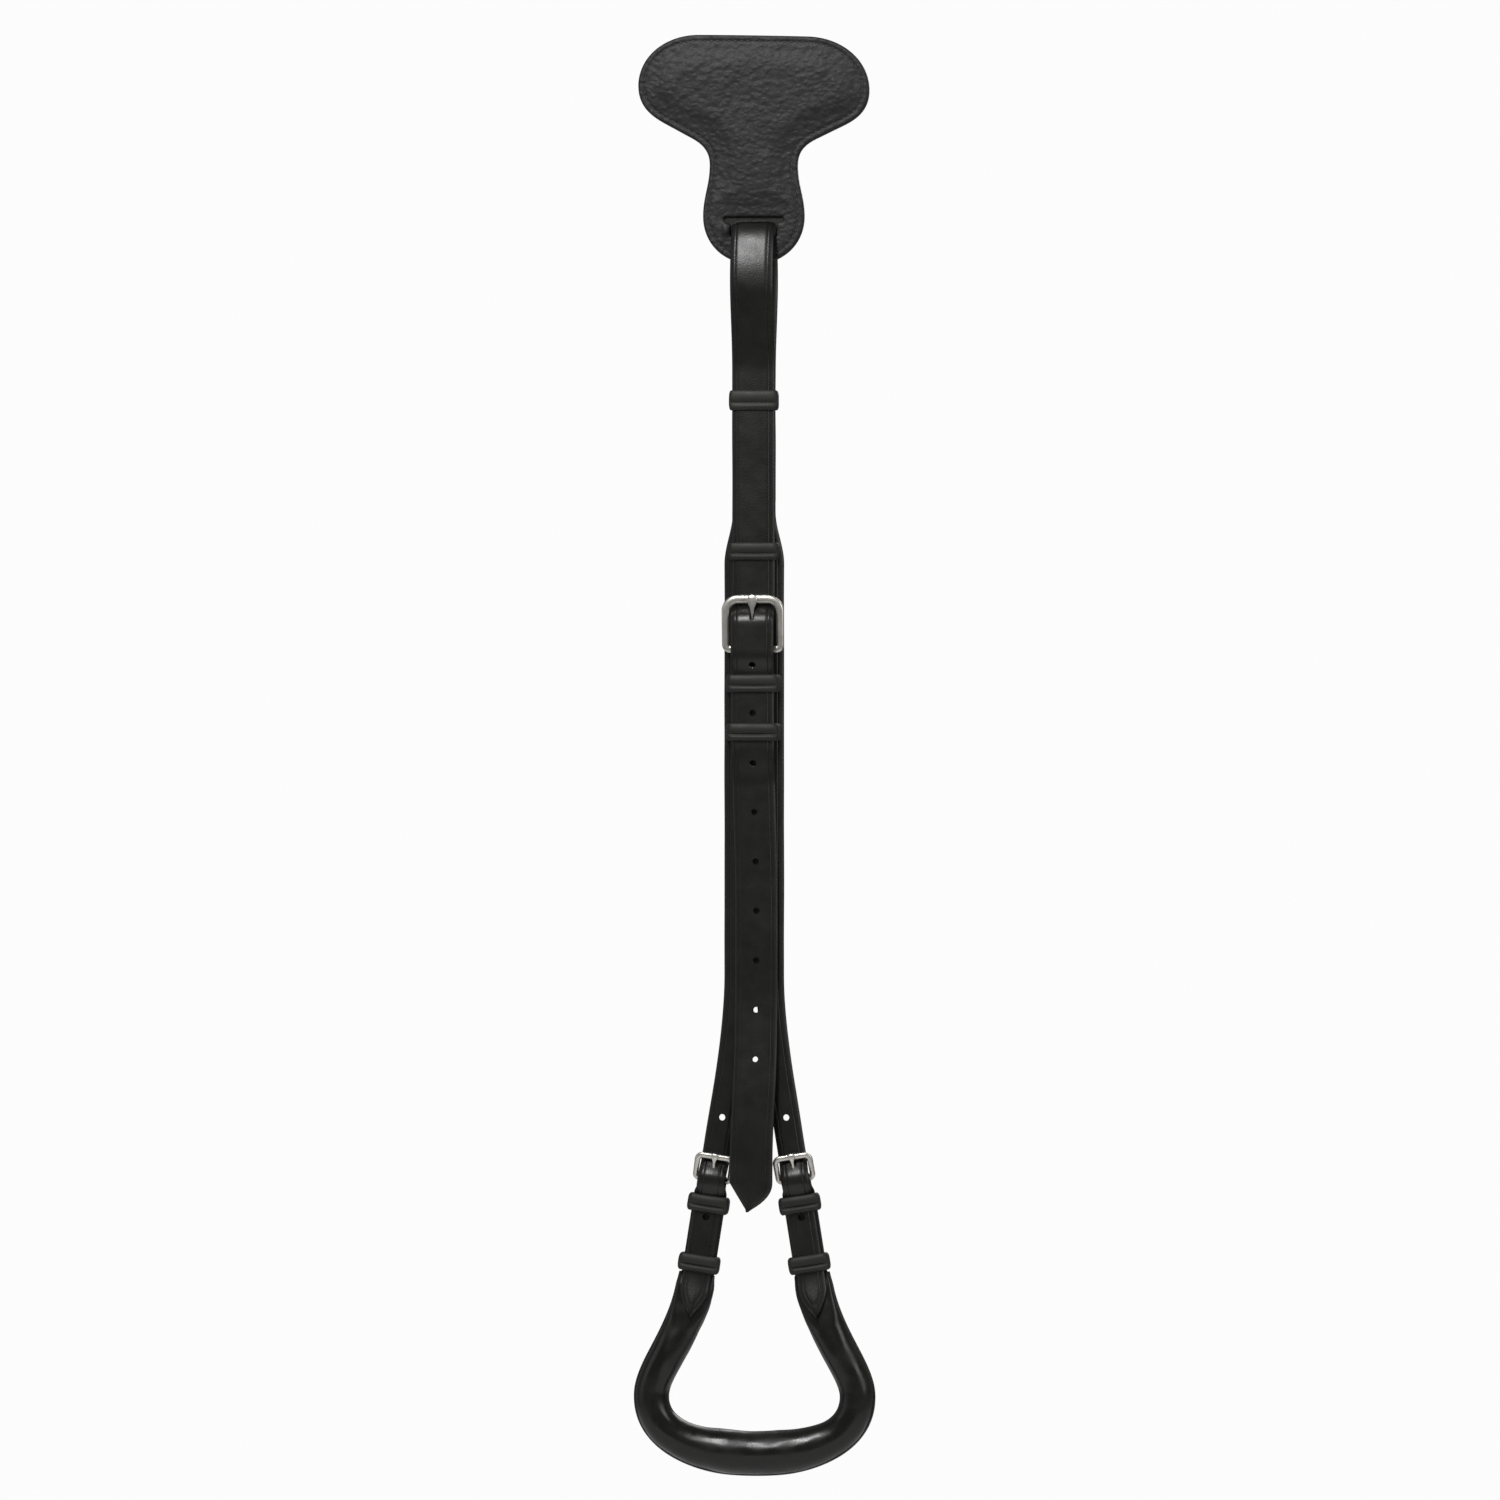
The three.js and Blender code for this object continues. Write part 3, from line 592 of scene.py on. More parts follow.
def billet():
    """The punched front half of the strap, from under the keeper to its point."""
    point = 15.0  # length of the point, which is cut straight on the left and round on the right
    tip_x = -1.9
    bow = 1.9  # to the right, full between these two heights
    bow_top, bow_bottom = -420.0, -480.0

    def middle(z):
        swing = bow * smooth(-z, -FLAP.z, -bow_top) * smooth(z, BILLET_TIP + 20, bow_bottom)
        lean = math.sin(BILLET_LEAN) * min(0.0, z - FLAP.z)
        return Vector((swing + lean, eased_y(BILLET_LEVELS, z), z))

    def edges(z):
        t = min((z - BILLET_TIP) / point, 1.0)
        return mix(tip_x, -BILLET, t), mix(tip_x, BILLET, 1 - (1 - t) ** 2.2)

    count = round((KEEPER_CUT_Z - BILLET_TIP) / 1.5)
    heights = [mix(KEEPER_CUT_Z, BILLET_TIP, i / count) for i in range(count + 1)]
    path = [middle(z) + ACROSS * (sum(edges(z)) / 2) for z in heights]

    def width(i):
        left, right = edges(heights[i])
        half = max(0.6, (right - left) / 2)
        return half, half

    rings = [section(s) for s in stations(path, width, ACROSS)]
    obj = made("billet", skin([*rings, blunt(rings[-1])]), BLACK)
    holes = [FIRST_HOLE_Z - HOLE_PITCH * i for i in range(9)]
    carve(obj, punches([(middle(z), facing(BILLET_LEVELS, z)) for z in holes]))
    for lift in TONGUE_LIFTS:
        room = tilted(tongue_arm(MAIN_TONGUE, grown=GAP), lift, MAIN_BAR)
        carve(obj, made("tongue_room", room, BLACK))
    return obj


def side_place(sign, across, y, along):
    """A point given along a side strap, measured up from the side buckle's bar."""
    x = SIDE_BAR.x + across * math.cos(SIDE_LEAN) - along * math.sin(SIDE_LEAN)
    return Vector((sign * x, y, SIDE_BAR.z + along * math.cos(SIDE_LEAN) + across * math.sin(SIDE_LEAN)))


def tail_along(z):
    """How far up from the side buckle's bar a side strap is at a height."""
    return (z - SIDE_BAR.z) / math.cos(SIDE_LEAN)


# Depth of a tail by how far along its side strap it is: over the side buckle's bar, and then over
# the dock strap down to its tip.
TAIL_LEVELS = [
    (30.0, REAR_Y), (11.0, REAR_Y), (1.2, OVER_SIDE_BAR_Y), (-1.2, OVER_SIDE_BAR_Y),
    (-9.0, OVER_DOCK_STRAP_Y), (-46.5, OVER_DOCK_STRAP_Y), (TAIL_TIP - 1, -7.7),
]


def right_tail_path():
    """Middle line of the strap's right half: straight to the slit, then out along the tail."""
    top, slit = (Vector((WIDE - TAIL, REAR_Y, z)) for z in (LOOP_CUT_Z, SLIT_TOP))
    start = tail_along(DOCK_HINGE.z)
    end = side_place(1, 0.0, REAR_Y, start)
    down = side_place(1, 0.0, REAR_Y, 0.0) - side_place(1, 0.0, REAR_Y, 1.0)
    curve = bezier([slit, slit - UP * 29, end - down * 24, end], 60)
    path = resampled([top, slit], 1.8) + resampled(curve, 1.5)[1:]
    count = round((start - TAIL_TIP) / 1.2)
    for i in range(1, count + 1):
        along = mix(start, TAIL_TIP, i / count)
        path.append(side_place(1, 0.0, eased_y(TAIL_LEVELS, along), along))
    return path


def fork():
    """The back strap behind, with its shoulders, its slit and its two pointed tails. The right
    half is made without its seam, and its mirror image is joined to it there."""
    path = right_tail_path()
    middle = WIDE - TAIL
    point = 14.0  # length of a tail's point
    slit_ease = 3.0

    def width(i):
        z = path[i].z
        if z >= SLIT_TOP - 0.01:
            return middle, mix(BILLET, WIDE, smooth(-z, -SHOULDER_TOP, -SHOULDER_BOTTOM)) - middle
        half = pointed(TAIL, tail_along(z) - TAIL_TIP, point)
        opened = smooth(SLIT_TOP - z, 0.0, slit_ease)
        return mix(middle, TAIL, opened) if half == TAIL else half, half

    rings = []
    for station in stations(path, width):
        seam = 1 - smooth(SLIT_TOP - station.at.z, 0.0, 2 * slit_ease)
        rings.append(section(station, seam=seam))
    halves = skin([*rings, blunt(rings[-1])])
    for face in [f for f in halves.faces if len(f.verts) > 4 and f.calc_center_median().z > SLIT_TOP]:
        halves.faces.remove(face)
    seam_verts = {v for v in halves.verts if abs(v.co.x) < 0.05 and v.co.z > SLIT_TOP - 0.3}
    for vert in seam_verts:
        vert.co.x = 0.0
    on_seam = [face for face in halves.faces if seam_verts.issuperset(face.verts)]
    bmesh.ops.delete(halves, geom=on_seam, context="FACES")
    copy = bmesh.ops.duplicate(halves, geom=halves.verts[:] + halves.edges[:] + halves.faces[:])
    copied = [item for item in copy["geom"] if isinstance(item, bmesh.types.BMVert)]
    bmesh.ops.scale(halves, vec=(-1, 1, 1), verts=copied)
    bmesh.ops.reverse_faces(halves, faces=[f for f in copy["geom"] if isinstance(f, bmesh.types.BMFace)])
    bmesh.ops.remove_doubles(halves, verts=halves.verts, dist=1e-3)
    loose = [v for v in halves.verts if not v.link_faces]
    bmesh.ops.delete(halves, geom=loose, context="VERTS")
    top_edges = [e for e in halves.edges if len(e.link_faces) == 1]
    bmesh.ops.contextual_create(halves, geom=top_edges)
    obj = made("fork", halves, BLACK)

    above_hinge = tail_along(DOCK_HINGE.z) + 10.2
    under_bar = 6.0 - HOLE_PITCH
    holes = [(Vector((0.0, REAR_Y, SLIT_TOP)), FRONT)]
    for sign in (-1, 1):
        for along in (above_hinge, under_bar):
            holes.append((side_place(sign, 0.0, eased_y(TAIL_LEVELS, along), along), FRONT))
    return carve(obj, punches(holes, 1.65))


# ---------------------------------------------------------------- folded leather round a bar
def folded_path(bar, fold, end, front):
    """Middle line of leather folded round a bar: up at the front's depth, over it, down behind."""
    curve = [Vector((0, y, z)) for y, z in ((front, -9.0), (front, -4.5), (-fold, -3.5), (-fold, 0))]
    over = [at for at, out in arc(Vector(), fold, 180, 0, 17, BACK, UP)]
    path = [Vector((0, front, end)), *bezier(curve, 8), *over[1:], Vector((0, fold, end))]
    return [p + bar for p in resampled(path, 1.2)]


def tongue_slot(bar, half, below, above):
    """Tool for the slot in a fold that a buckle's tongue comes out of."""
    corners = ((-half, -10), (half, -10), (half, 10), (-half, 10))
    rings = [[bar + Vector((x, y, z)) for x, y in corners] for z in (-below, above)]
    return made("tongue_slot", skin(rings), BLACK)


def chape():
    """The strap's fold that holds the main buckle, with the slot for its tongue."""
    wall = 1.8
    low, high = extent("buckle_chape")
    fold = high.y - MAIN_BAR.y - wall / 2
    path = folded_path(MAIN_BAR, fold, low.z - MAIN_BAR.z, fold - wall - 0.15)
    obj = plain_strap("chape", path, lambda i: (high.x, high.x), -ACROSS, wall)
    return carve(obj, tongue_slot(MAIN_BAR, 2.8, 4.4, 9.6))


def turned(obj, sign):
    """Puts a piece made upright at the origin in its place on a side strap."""
    lean = Matrix.Rotation(-sign * SIDE_LEAN, 4, "Y")
    obj.data.transform(Matrix.Translation(Vector((sign * SIDE_BAR.x, 0, SIDE_BAR.z)) * MM) @ lean)
    return obj


def dock_strap(side, sign):
    """Leather folded round a side buckle's bar and sewn into the dock's mouth."""
    wall = 1.6
    fold = SIDE_FOLD - wall / 2
    bar = BACK * SIDE_BAR.y
    path = folded_path(bar, fold, MOUTH - 8, fold - wall - 0.05)
    at_bar, full, at_mouth = 7.2, 8.25, 6.6  # half widths

    def width(i):
        z = path[i].z
        half = mix(at_bar, full, smooth(-z, 3.5, 7.0))
        half = mix(half, at_mouth, smooth(-z, -MOUTH - 3.0, -MOUTH))
        return half, half

    obj = plain_strap(f"folded_dock_strap_{side}", path, width, -ACROSS, wall)
    return turned(carve(obj, tongue_slot(bar, 2.3, 2.8, 7.2)), sign)


# ---------------------------------------------------------------- keepers
# The outline of a keeper's wall over its height, bottom to top: (height, thickness in front,
# thickness elsewhere), each from 0 to 1. In front there are two rolls with a pressed line between.
ROLLS = [
    (0.0, 0.0, 0.0), (0.0, 0.30, 0.30), (0.02, 0.52, 0.50), (0.07, 0.76, 0.72), (0.14, 0.92, 0.87),
    (0.22, 0.97, 0.95), (0.29, 0.86, 0.98), (0.34, 0.56, 1.0), (0.375, 0.46, 1.0), (0.41, 0.60, 1.0),
    (0.47, 0.84, 1.0), (0.57, 0.97, 1.0), (0.70, 1.0, 0.98), (0.82, 0.94, 0.92), (0.91, 0.78, 0.76),
    (0.97, 0.56, 0.54), (1.0, 0.32, 0.32), (1.0, 0.0, 0.0),
]


def rounded_loop(half, front, back, splay):
    """Points and outward directions round a keeper's opening, seen from above. With a splay it is
    open at the back, and its sides spread by that much to where their ends are sewn down."""
    radius = 1.1

    def corner(x, y, start, end):
        return arc(Vector((x, y, 0)), radius, start, end, 8, ACROSS, BACK)

    slant = math.atan2(splay, back - front)
    right = Vector((half - radius, front + radius, 0))
    found = []
    if splay:
        side = Vector((math.cos(slant), -math.sin(slant), 0))
        foot = Vector((half + splay, back, 0))
        found += [(foot.lerp(right + side * radius, t), side) for t in (0.0, 0.25, 0.5, 0.75)]
    found += corner(right.x, right.y, -math.degrees(slant), -90.0)
    found += [(right + Vector((-2 * right.x * k / 9, -radius, 0)), FRONT) for k in range(1, 9)]
    found += corner(-right.x, right.y, -90.0, -180.0 + math.degrees(slant))
    if splay:
        found += [(Vector((-at.x, at.y, 0)), Vector((-out.x, out.y, 0))) for at, out in reversed(found[:4])]
    else:
        found += corner(-right.x, back - radius, -180.0, -270.0)
        found += corner(right.x, back - radius, -270.0, -360.0)
    return found


def keeper(name, z, height, half, front, back, wall, splay=0.0):
    """A leather keeper round a strap: half width and depths of its opening."""
    bow = 0.25
    rings = []
    for at, out in rounded_loop(half, front, back, splay):
        pressed = smooth(-out.y, 0.55, 0.95)
        swell = 1 + bow * pressed * (1 - (at.x / half) ** 2)
        ring = []
        for rise, rolled, plain in ROLLS:
            thick = wall * swell * mix(plain, rolled, pressed)
            ring.append(at + out * thick + Vector((0, 0, z + height * (rise - 0.5))))
        rings.append(ring)
    obj = made(name, skin(rings, looped=not splay), KEEPER)
    return roughened(obj, 5.0, 0.12, seed=len(name))


def keepers():
    """All the keepers, each with the CAD node that it stands for and its body."""
    back = REAR_Y + HALF + GAP
    front = FRONT_Y - HALF - GAP
    sewn = REAR_Y - HALF + 0.05
    snug = GAP * 0.6
    runner = keeper("runner", RUNNER_Z, 10.0, BILLET + GAP, front, back, wall=1.3)
    top = keeper("keeper_top", KEEPER_CUT_Z, 9.0, BILLET + 0.25, front, sewn, wall=1.5, splay=0.8)
    found = [(runner, "runner_keeper", "runner"), (top, "keeper_above_buckle", "strap")]
    face = OVER_CHAPE_Y - HALF - snug
    for name, node in (("keeper_upper", "fixed_keeper_upper"), ("keeper_lower", "fixed_keeper_lower")):
        low, high = extent(node)
        z = (low.z + high.z) / 2
        obj = keeper(name, z, 9.0, BILLET + 0.45, face, sewn, wall=1.7, splay=1.5)
        found.append((obj, node, "strap"))
    room = (8.75, OVER_DOCK_STRAP_Y - HALF - snug, SIDE_BAR.y + SIDE_FOLD + snug)
    for side, sign in (("left", -1), ("right", 1)):
        for name, z, node, body in (
            ("side_keeper_top", SIDE_KEEPER, "side_keeper", "dock"),
            ("side_keeper_low", SIDE_RUNNER, "side_runner", f"{side}_runner"),
        ):
            obj = turned(keeper(f"{name}_{side}", z, 8.8, *room, wall=1.8), sign)
            found.append((obj, f"{node}_{side}", body))
    return found


# ---------------------------------------------------------------- buckles
def frame_ring(arm, reach, top_radius, low_radius, wire, depth):
    """A cast buckle frame round its window, with its hinge bar at the origin."""
    high = reach - top_radius
    plan = []
    for sign, radius, z, start in (
        (1, low_radius, low_radius, -90), (1, top_radius, high, 0),
        (-1, top_radius, high, 90), (-1, low_radius, low_radius, 180),
    ):
        middle = Vector((sign * (arm - radius), 0, z))
        plan += arc(middle, radius, start, start + 90, 9, ACROSS, UP)
    rings = []
    for at, out in plan:
        broad = 1 + 0.12 * smooth(at.z, reach * 0.6, reach)
        rings.append(oval(at, out * (wire * broad), BACK * depth, 20, power=0.82))
    return skin(rings, looped=True)


# A tongue's arm: its middle line from the hinge bar as Bezier points, and its half width and half
# depth by how far along it is.
Arm = namedtuple("Arm", "line widths depths")

MAIN_TILT = 4.9  # degrees that a buckle's frame leans back
SIDE_TILT = 15.5
TOP_WIRE = 1.65  # half the breadth that the CAD frame's top has
MAIN_REACH = extent("main_buckle_frame")[1].z - TOP_WIRE - MAIN_BAR.z
MAIN_REACH /= math.cos(math.radians(MAIN_TILT))
SIDE_REACH = 12.2
MAIN_TONGUE = Arm(
    [(-1.0, 1.6), (-2.6, 12.0), (-5.0, 20.0), (-5.1, MAIN_REACH + 1.9)],
    [(0, 1.4), (0.5, 0.95), (0.67, 0.85), (0.73, 1.4), (0.85, 2.5), (0.94, 2.7), (0.98, 2.2), (1, 1.3)],
    [(0, 1.45), (0.6, 1.0), (0.9, 0.95), (0.97, 0.85), (1, 0.5)],
)
SIDE_TONGUE = Arm(
    [(-0.9, 1.2), (-3.0, 6.0), (-5.9, 9.5), (-5.9, SIDE_REACH + 1.1)],
    [(0, 1.15), (0.5, 0.8), (0.6, 0.75), (0.68, 0.95), (0.88, 1.95), (0.96, 2.0), (0.99, 1.5), (1, 0.8)],
    [(0, 1.1), (0.6, 0.8), (0.9, 0.8), (0.97, 0.65), (1, 0.4)],
)


def tongue_arm(arm, grown=0.0, into=None):
    """The arm's body, or with grown the room that it takes in leather."""
    line = bezier([Vector((0, y, z)) for y, z in arm.line], 30)
    rings = []
    for i, at in enumerate(line):
        t = i / (len(line) - 1)
        out = direction(line, i).cross(ACROSS).normalized()
        width = np.interp(t, *zip(*arm.widths)) + grown
        depth = np.interp(t, *zip(*arm.depths)) + grown
        rings.append(oval(at, ACROSS * width, out * depth, 16, power=0.8, start=0.5))
    return skin(rings, into=into)


def tongue(arm, bore, wall, eye_half):
    """A buckle's tongue: an eye round the hinge bar and an arm through the strap's hole."""
    outer = bore + wall
    profile = [
        (bore, -eye_half + 0.25), (bore + 0.25, -eye_half), (outer - 0.3, -eye_half),
        (outer, -eye_half + 0.35), (outer, eye_half - 0.35),
        (outer - 0.3, eye_half), (bore + 0.25, eye_half), (bore, eye_half - 0.25),
    ]
    eye = [[out * radius + ACROSS * x for radius, x in profile] for out in oval(Vector(), BACK, UP, 28)]
    return tongue_arm(arm, into=skin(eye, looped=True))


def main_buckle():
    wire = 1.95  # half its breadth, seen from the front
    arm_x = extent("main_buckle_frame")[1].x - wire
    ring = frame_ring(arm_x, MAIN_REACH, top_radius=6.2, low_radius=2.4, wire=wire, depth=1.5)
    arm = tongue(MAIN_TONGUE, bore=1.9, wall=1.15, eye_half=2.2)
    return (
        made("main_buckle_ring", tilted(ring, MAIN_TILT, MAIN_BAR), NICKEL),
        made("main_buckle_tongue", tilted(arm, 0.0, MAIN_BAR), NICKEL),
    )


def side_buckle(side, sign):
    bar = BACK * SIDE_BAR.y
    ring = frame_ring(8.85, SIDE_REACH, top_radius=2.6, low_radius=2.0, wire=1.35, depth=1.2)
    arm = tongue(SIDE_TONGUE, bore=1.55, wall=1.0, eye_half=1.8)
    return (
        turned(made(f"side_buckle_ring_{side}", tilted(ring, SIDE_TILT, bar), NICKEL), sign),
        turned(made(f"side_buckle_tongue_{side}", tilted(arm, 0.0, bar), NICKEL), sign),
    )


# ---------------------------------------------------------------- T pad
pad_low, pad_high = extent("t_pad_cover")
# Corners of the strap's slot, anticlockwise. In the cover it is a wide slit that the strap has
# pulled down in its middle; in the lining it is just the strap's size, and close round its top.
COVER_SLOT = [
    (-11.8, -74.4), (11.8, -74.4), (11.8, -67.8), (15.2, -66.6),
    (15.2, -64.3), (-15.2, -64.3), (-15.2, -66.6), (-11.8, -67.8),
]
LINING_SLOT = [
    (-11.1, -74.4), (11.1, -74.4), (11.1, -67.8), (9.2, -66.75), (-9.2, -66.75), (-11.1, -67.8),
]


def pad_outline(step=1.15):
    """The T's outline, anticlockwise from the top, as flat points."""
    head, top, bottom = pad_high.x, pad_high.z, pad_low.z
    neck, tab = 22.3, 25.7
    runs = [
        [(0, top), (14, top), (28, top - 0.15)],
        [(28, top - 0.15), (44, top - 0.4), (head - 0.8, 17), (head, 2)],
        [(head, 2), (head + 0.2, -8), (54, -13), (46, -17.3)],
        [(46, -17.3), (31, -25)],
        [(31, -25), (25.5, -28), (neck, -31.5), (neck, -38)],
        [(neck, -38), (neck, -48), (tab, -54), (tab, -64)],
        [(tab, -64), (tab, -78), (15, bottom), (0, bottom)],
    ]
    right = []
    for run in runs:
        right += bezier([Vector(p) for p in run], 24)[:-1]
    right.append(Vector((0, bottom)))
    left = [Vector((-p.x, p.y)) for p in reversed(right[1:-1])]
    closed = resampled([*right, *left, right[0]], step)[:-1]
    lean = math.tan(math.radians(1.2))  # the head sits a little askew on its neck
    return [Vector((p.x, p.y - p.x * lean * smooth(p.y, -40, -10))) for p in reversed(closed)]


def slot_outline(corners, radius):
    """A slot's outline with its corners rounded."""
    points = [Vector(corner) for corner in corners]
    found = []
    for i, corner in enumerate(points):
        before = corner + (points[i - 1] - corner).normalized() * radius
        after = corner + (points[(i + 1) % len(points)] - corner).normalized() * radius
        found += bezier([before, corner, after], 5)
    return resampled([*found, found[0]], 0.9)[:-1]


def inset(outline, distance):
    """The outline moved to its left side by a distance, point by point."""
    count = len(outline)
    found = []
    for i, point in enumerate(outline):
        along = (outline[(i + 1) % count] - outline[i - 1]).normalized()
        found.append(point + Vector((-along.y, along.x)) * distance)
    return found


def distances(points, outline):
    """How far each point is from an outline."""
    p = np.array(points)[:, None, :]
    a = np.array(outline)[None, :, :]
    b = np.roll(a, -1, axis=1)
    along = b - a
    t = np.clip(((p - a) * along).sum(2) / (along**2).sum(2), 0, 1)
    return np.sqrt((((a + along * t[..., None]) - p) ** 2).sum(2)).min(1)


def inside(points, outline):
    """Which points are inside an outline."""
    p = np.array(points)
    a = np.array(outline)
    b = np.roll(a, -1, axis=0)
    crosses = (a[None, :, 1] > p[:, 1:2]) != (b[None, :, 1] > p[:, 1:2])
    rise = b[None, :, 1] - a[None, :, 1]
    at = (b[None, :, 0] - a[None, :, 0]) * (p[:, 1:2] - a[None, :, 1]) / np.where(rise == 0, 1, rise)
    return (crosses & (p[:, 0:1] < at + a[None, :, 0])).sum(1) % 2 == 1


def pad_layer(name, finish, slot, parting, outward, height, grid):
    """One leather of the T pad. Its face stands off the parting plane by a height that depends on
    how far in it is from the pad's edge and from the slot."""
    outline = pad_outline()
    levels = [0.15, 0.45, 0.9, 1.5, 2.1, 2.6, 3.0, 3.4, 4.0, 5.2]  # rows that follow the edges
    candidates = []
    limits = []
    for level in levels:
        ring = inset(outline, level) + inset(slot, -level)
        candidates += ring
        limits += [level - 0.04] * len(ring)
    row = 0
    z = pad_low.z
    while z < pad_high.z:
        x = -pad_high.x - (grid / 2 if row % 2 else 0)
        while x < pad_high.x:
            candidates.append(Vector((x, z)))
            limits.append(levels[-1] + grid * 0.6)
            x += grid
        z += grid * 0.866
        row += 1
    near = np.minimum(distances(candidates, outline), distances(candidates, slot))
    good = inside(candidates, outline) & ~inside(candidates, slot) & (near > np.array(limits))
    points = outline + slot + [c for c, ok in zip(candidates, good) if ok]
    edges = []
    for start, count in ((0, len(outline)), (len(outline), len(slot))):
        edges += [(start + i, start + (i + 1) % count) for i in range(count)]
    flat, _, faces, *_ = delaunay_2d_cdt(points, edges, [], 0, 1e-5)
    middles = [sum((flat[i] for i in face), Vector((0, 0))) / 3 for face in faces]
    keep = inside(middles, outline) & ~inside(middles, slot)
    reach = zip(distances(flat, outline), distances(flat, slot))

    body = bmesh.new()
    face_verts = []
    back_verts = []
    for point, (from_edge, from_slot) in zip(flat, reach):
        level = parting + outward * height(from_edge, from_slot, point)
        face_verts.append(body.verts.new((point.x, level, point.y)))
        back_verts.append(body.verts.new((point.x, parting, point.y)))
    for face, ok in zip(faces, keep):
        if ok:
            body.faces.new([face_verts[i] for i in face])
            body.faces.new([back_verts[i] for i in reversed(face)])
    rim = [e for e in body.edges if len(e.link_faces) == 1]
    partner = {a: b for a, b in zip(face_verts, back_verts)}
    for edge in rim:
        a, b = edge.verts
        if a in partner and b in partner:
            body.faces.new((a, b, partner[b], partner[a]))
    loose = [v for v in body.verts if not v.link_faces]
    bmesh.ops.delete(body, geom=loose, context="VERTS")
    return made(name, body, finish)


def profile(marks):
    """A height by distance in from the edge, eased between marks."""
    where, heights = zip(*marks)
    return lambda distance: float(np.interp(distance, where, heights))


def pad_cover():
    """The grained cover: rolled edge, stitched border, and a low crown over the padding."""
    scale = (pad_high.y - pad_low.y) / 2.1  # the profiles are drawn for a cover 2.1 mm thick
    lip_x, lip_z = -13.9, -70.6  # the slot's corner that the strap has turned up
    edge = profile([
        (0, 0.9), (0.15, 1.35), (0.45, 1.75), (0.9, 1.98), (1.5, 2.02), (2.1, 1.98),
        (2.6, 1.86), (3.0, 1.72), (3.4, 1.86), (4.0, 2.04), (5.2, 2.14),
    ])
    rim = profile([(0, 1.3), (0.15, 1.6), (0.45, 1.85), (0.9, 2.0), (1.5, 2.06), (5.2, 2.14)])

    def height(from_edge, from_slot, point):
        distance = min(from_edge, from_slot)
        at = Vector((point.x, point.y, 0))
        crown = 1.5 * smooth(distance, 3.6, 17.0)
        folds = noise.noise(at / 13) * 0.34 * smooth(distance, 3.0, 8.0)
        pebbles = noise.noise(at / 3.6 + Vector((9, 4, 2))) * 0.22 * smooth(distance, 3.2, 5.0)
        from_lip = math.hypot(point.x - lip_x, (point.y - lip_z) * 0.8)
        lip = 1.1 * (1 - smooth(from_lip, 0.6, 3.4))
        return min(edge(from_edge), rim(from_slot)) * scale + crown + folds + pebbles + lip

    slot = slot_outline(COVER_SLOT, 0.9)
    return pad_layer("pad_cover", PEBBLED, slot, pad_high.y, -1, height, 1.15)


def pad_lining():
    """The smooth lining behind, flat to the horse's back, with its rounded stitched edge."""
    low, high = extent("t_pad_lining")
    full = high.y - low.y
    edge = profile([
        (0, 0.62), (0.15, 0.78), (0.45, 0.90), (0.9, 0.975), (1.5, 1.0), (2.6, 1.0),
        (3.0, 0.93), (3.4, 1.0),
    ])

    def height(from_edge, from_slot, point):
        return full * edge(min(from_edge, from_slot))

    return pad_layer("pad_lining", BLACK, slot_outline(LINING_SLOT, 0.9), low.y, 1, height, 3.0)


def stitches(name, seams, length, radius):
    """Separate stitches along seams. Each seam is a list of (place, along, out) to hold a stitch."""
    body = bmesh.new()
    for at, along, out in [place for seam in seams for place in seam]:
        side = along.cross(out).normalized()
        rings = []
        for t in (-1.0, -0.8, -0.4, 0.0, 0.4, 0.8, 1.0):
            size = radius * math.sqrt(max(0.04, 1 - t * t))
            lift = radius * 0.55 * (1 - t * t) - radius * 0.35
            middle = at + along * (t * length / 2) + out * lift
            rings.append(oval(middle, side * size, out * size, 8))
        skin(rings, into=body)
    return made(name, body, THREAD)


def every(points, pitch, out):
    """Places for stitches a pitch apart along a line of points, which all face out."""
    line = resampled(points, pitch)
    return [((a + b) / 2, (b - a).normalized(), out) for a, b in zip(line, line[1:])]


def pad_stitches():
    """The border's stitches, in front and behind."""
    border = inset(pad_outline(), 3.0)
    full = pad_high.y - pad_low.y
    front_y = pad_high.y - full * 1.72 / 2.1
    seams = []
    for y, out in ((front_y, FRONT), (extent("t_pad_lining")[1].y - 0.2, BACK)):
        line = [Vector((p.x, y, p.y)) for p in [*border, border[0]]]
        seams.append(every(line, 3.1, out))
    return stitches("pad_stitches", seams, 2.4, 0.38)


# ---------------------------------------------------------------- dock
DOCK_Y = -0.2
WIDEST = Vector((52.0, DOCK_Y, -660.8))
BOTTOM = Vector((0.0, DOCK_Y, -689.7))


def dock_path(step=1.6):
    """Middle line of the dock from the left collar round to the right one."""
    collar = side_place(1, 0.0, DOCK_Y, COLLAR)
    start = side_place(1, 0.0, DOCK_Y, MOUTH)
    down = side_place(1, 0.0, DOCK_Y, MOUTH - 1) - start
    upper = bezier([start, start + down * 25, WIDEST + UP * 13.3, WIDEST], 60)
    lower = bezier([WIDEST, WIDEST + Vector((0.4, 0, -17.8)), BOTTOM + Vector((36, 0, 0)), BOTTOM], 60)
    right = [collar, *upper, *lower[1:]]
    left = [Vector((-p.x, p.y, p.z)) for p in right]
    return resampled(left + right[::-1][1:], step)


def dock_size(point):
    """Half width, half depth and squareness of the dock's section: flat where it is drawn in round
    the strap, round further down, and fullest at the bottom."""
    opened = smooth(-point.z, 603, 642)
    full = smooth(WIDEST.x - abs(point.x), 0, 40) if point.z < -660 else 0.0
    drawn_in = 1 - smooth(-point.z, 598.5, 607)
    width = mix(9.6, 8.85, opened) + 2.3 * full - 0.7 * drawn_in
    depth = mix(4.1, 8.85, opened) + 2.3 * full - 1.8 * drawn_in
    return width, depth, 6 - 4 * min(1.0, opened * 1.5)


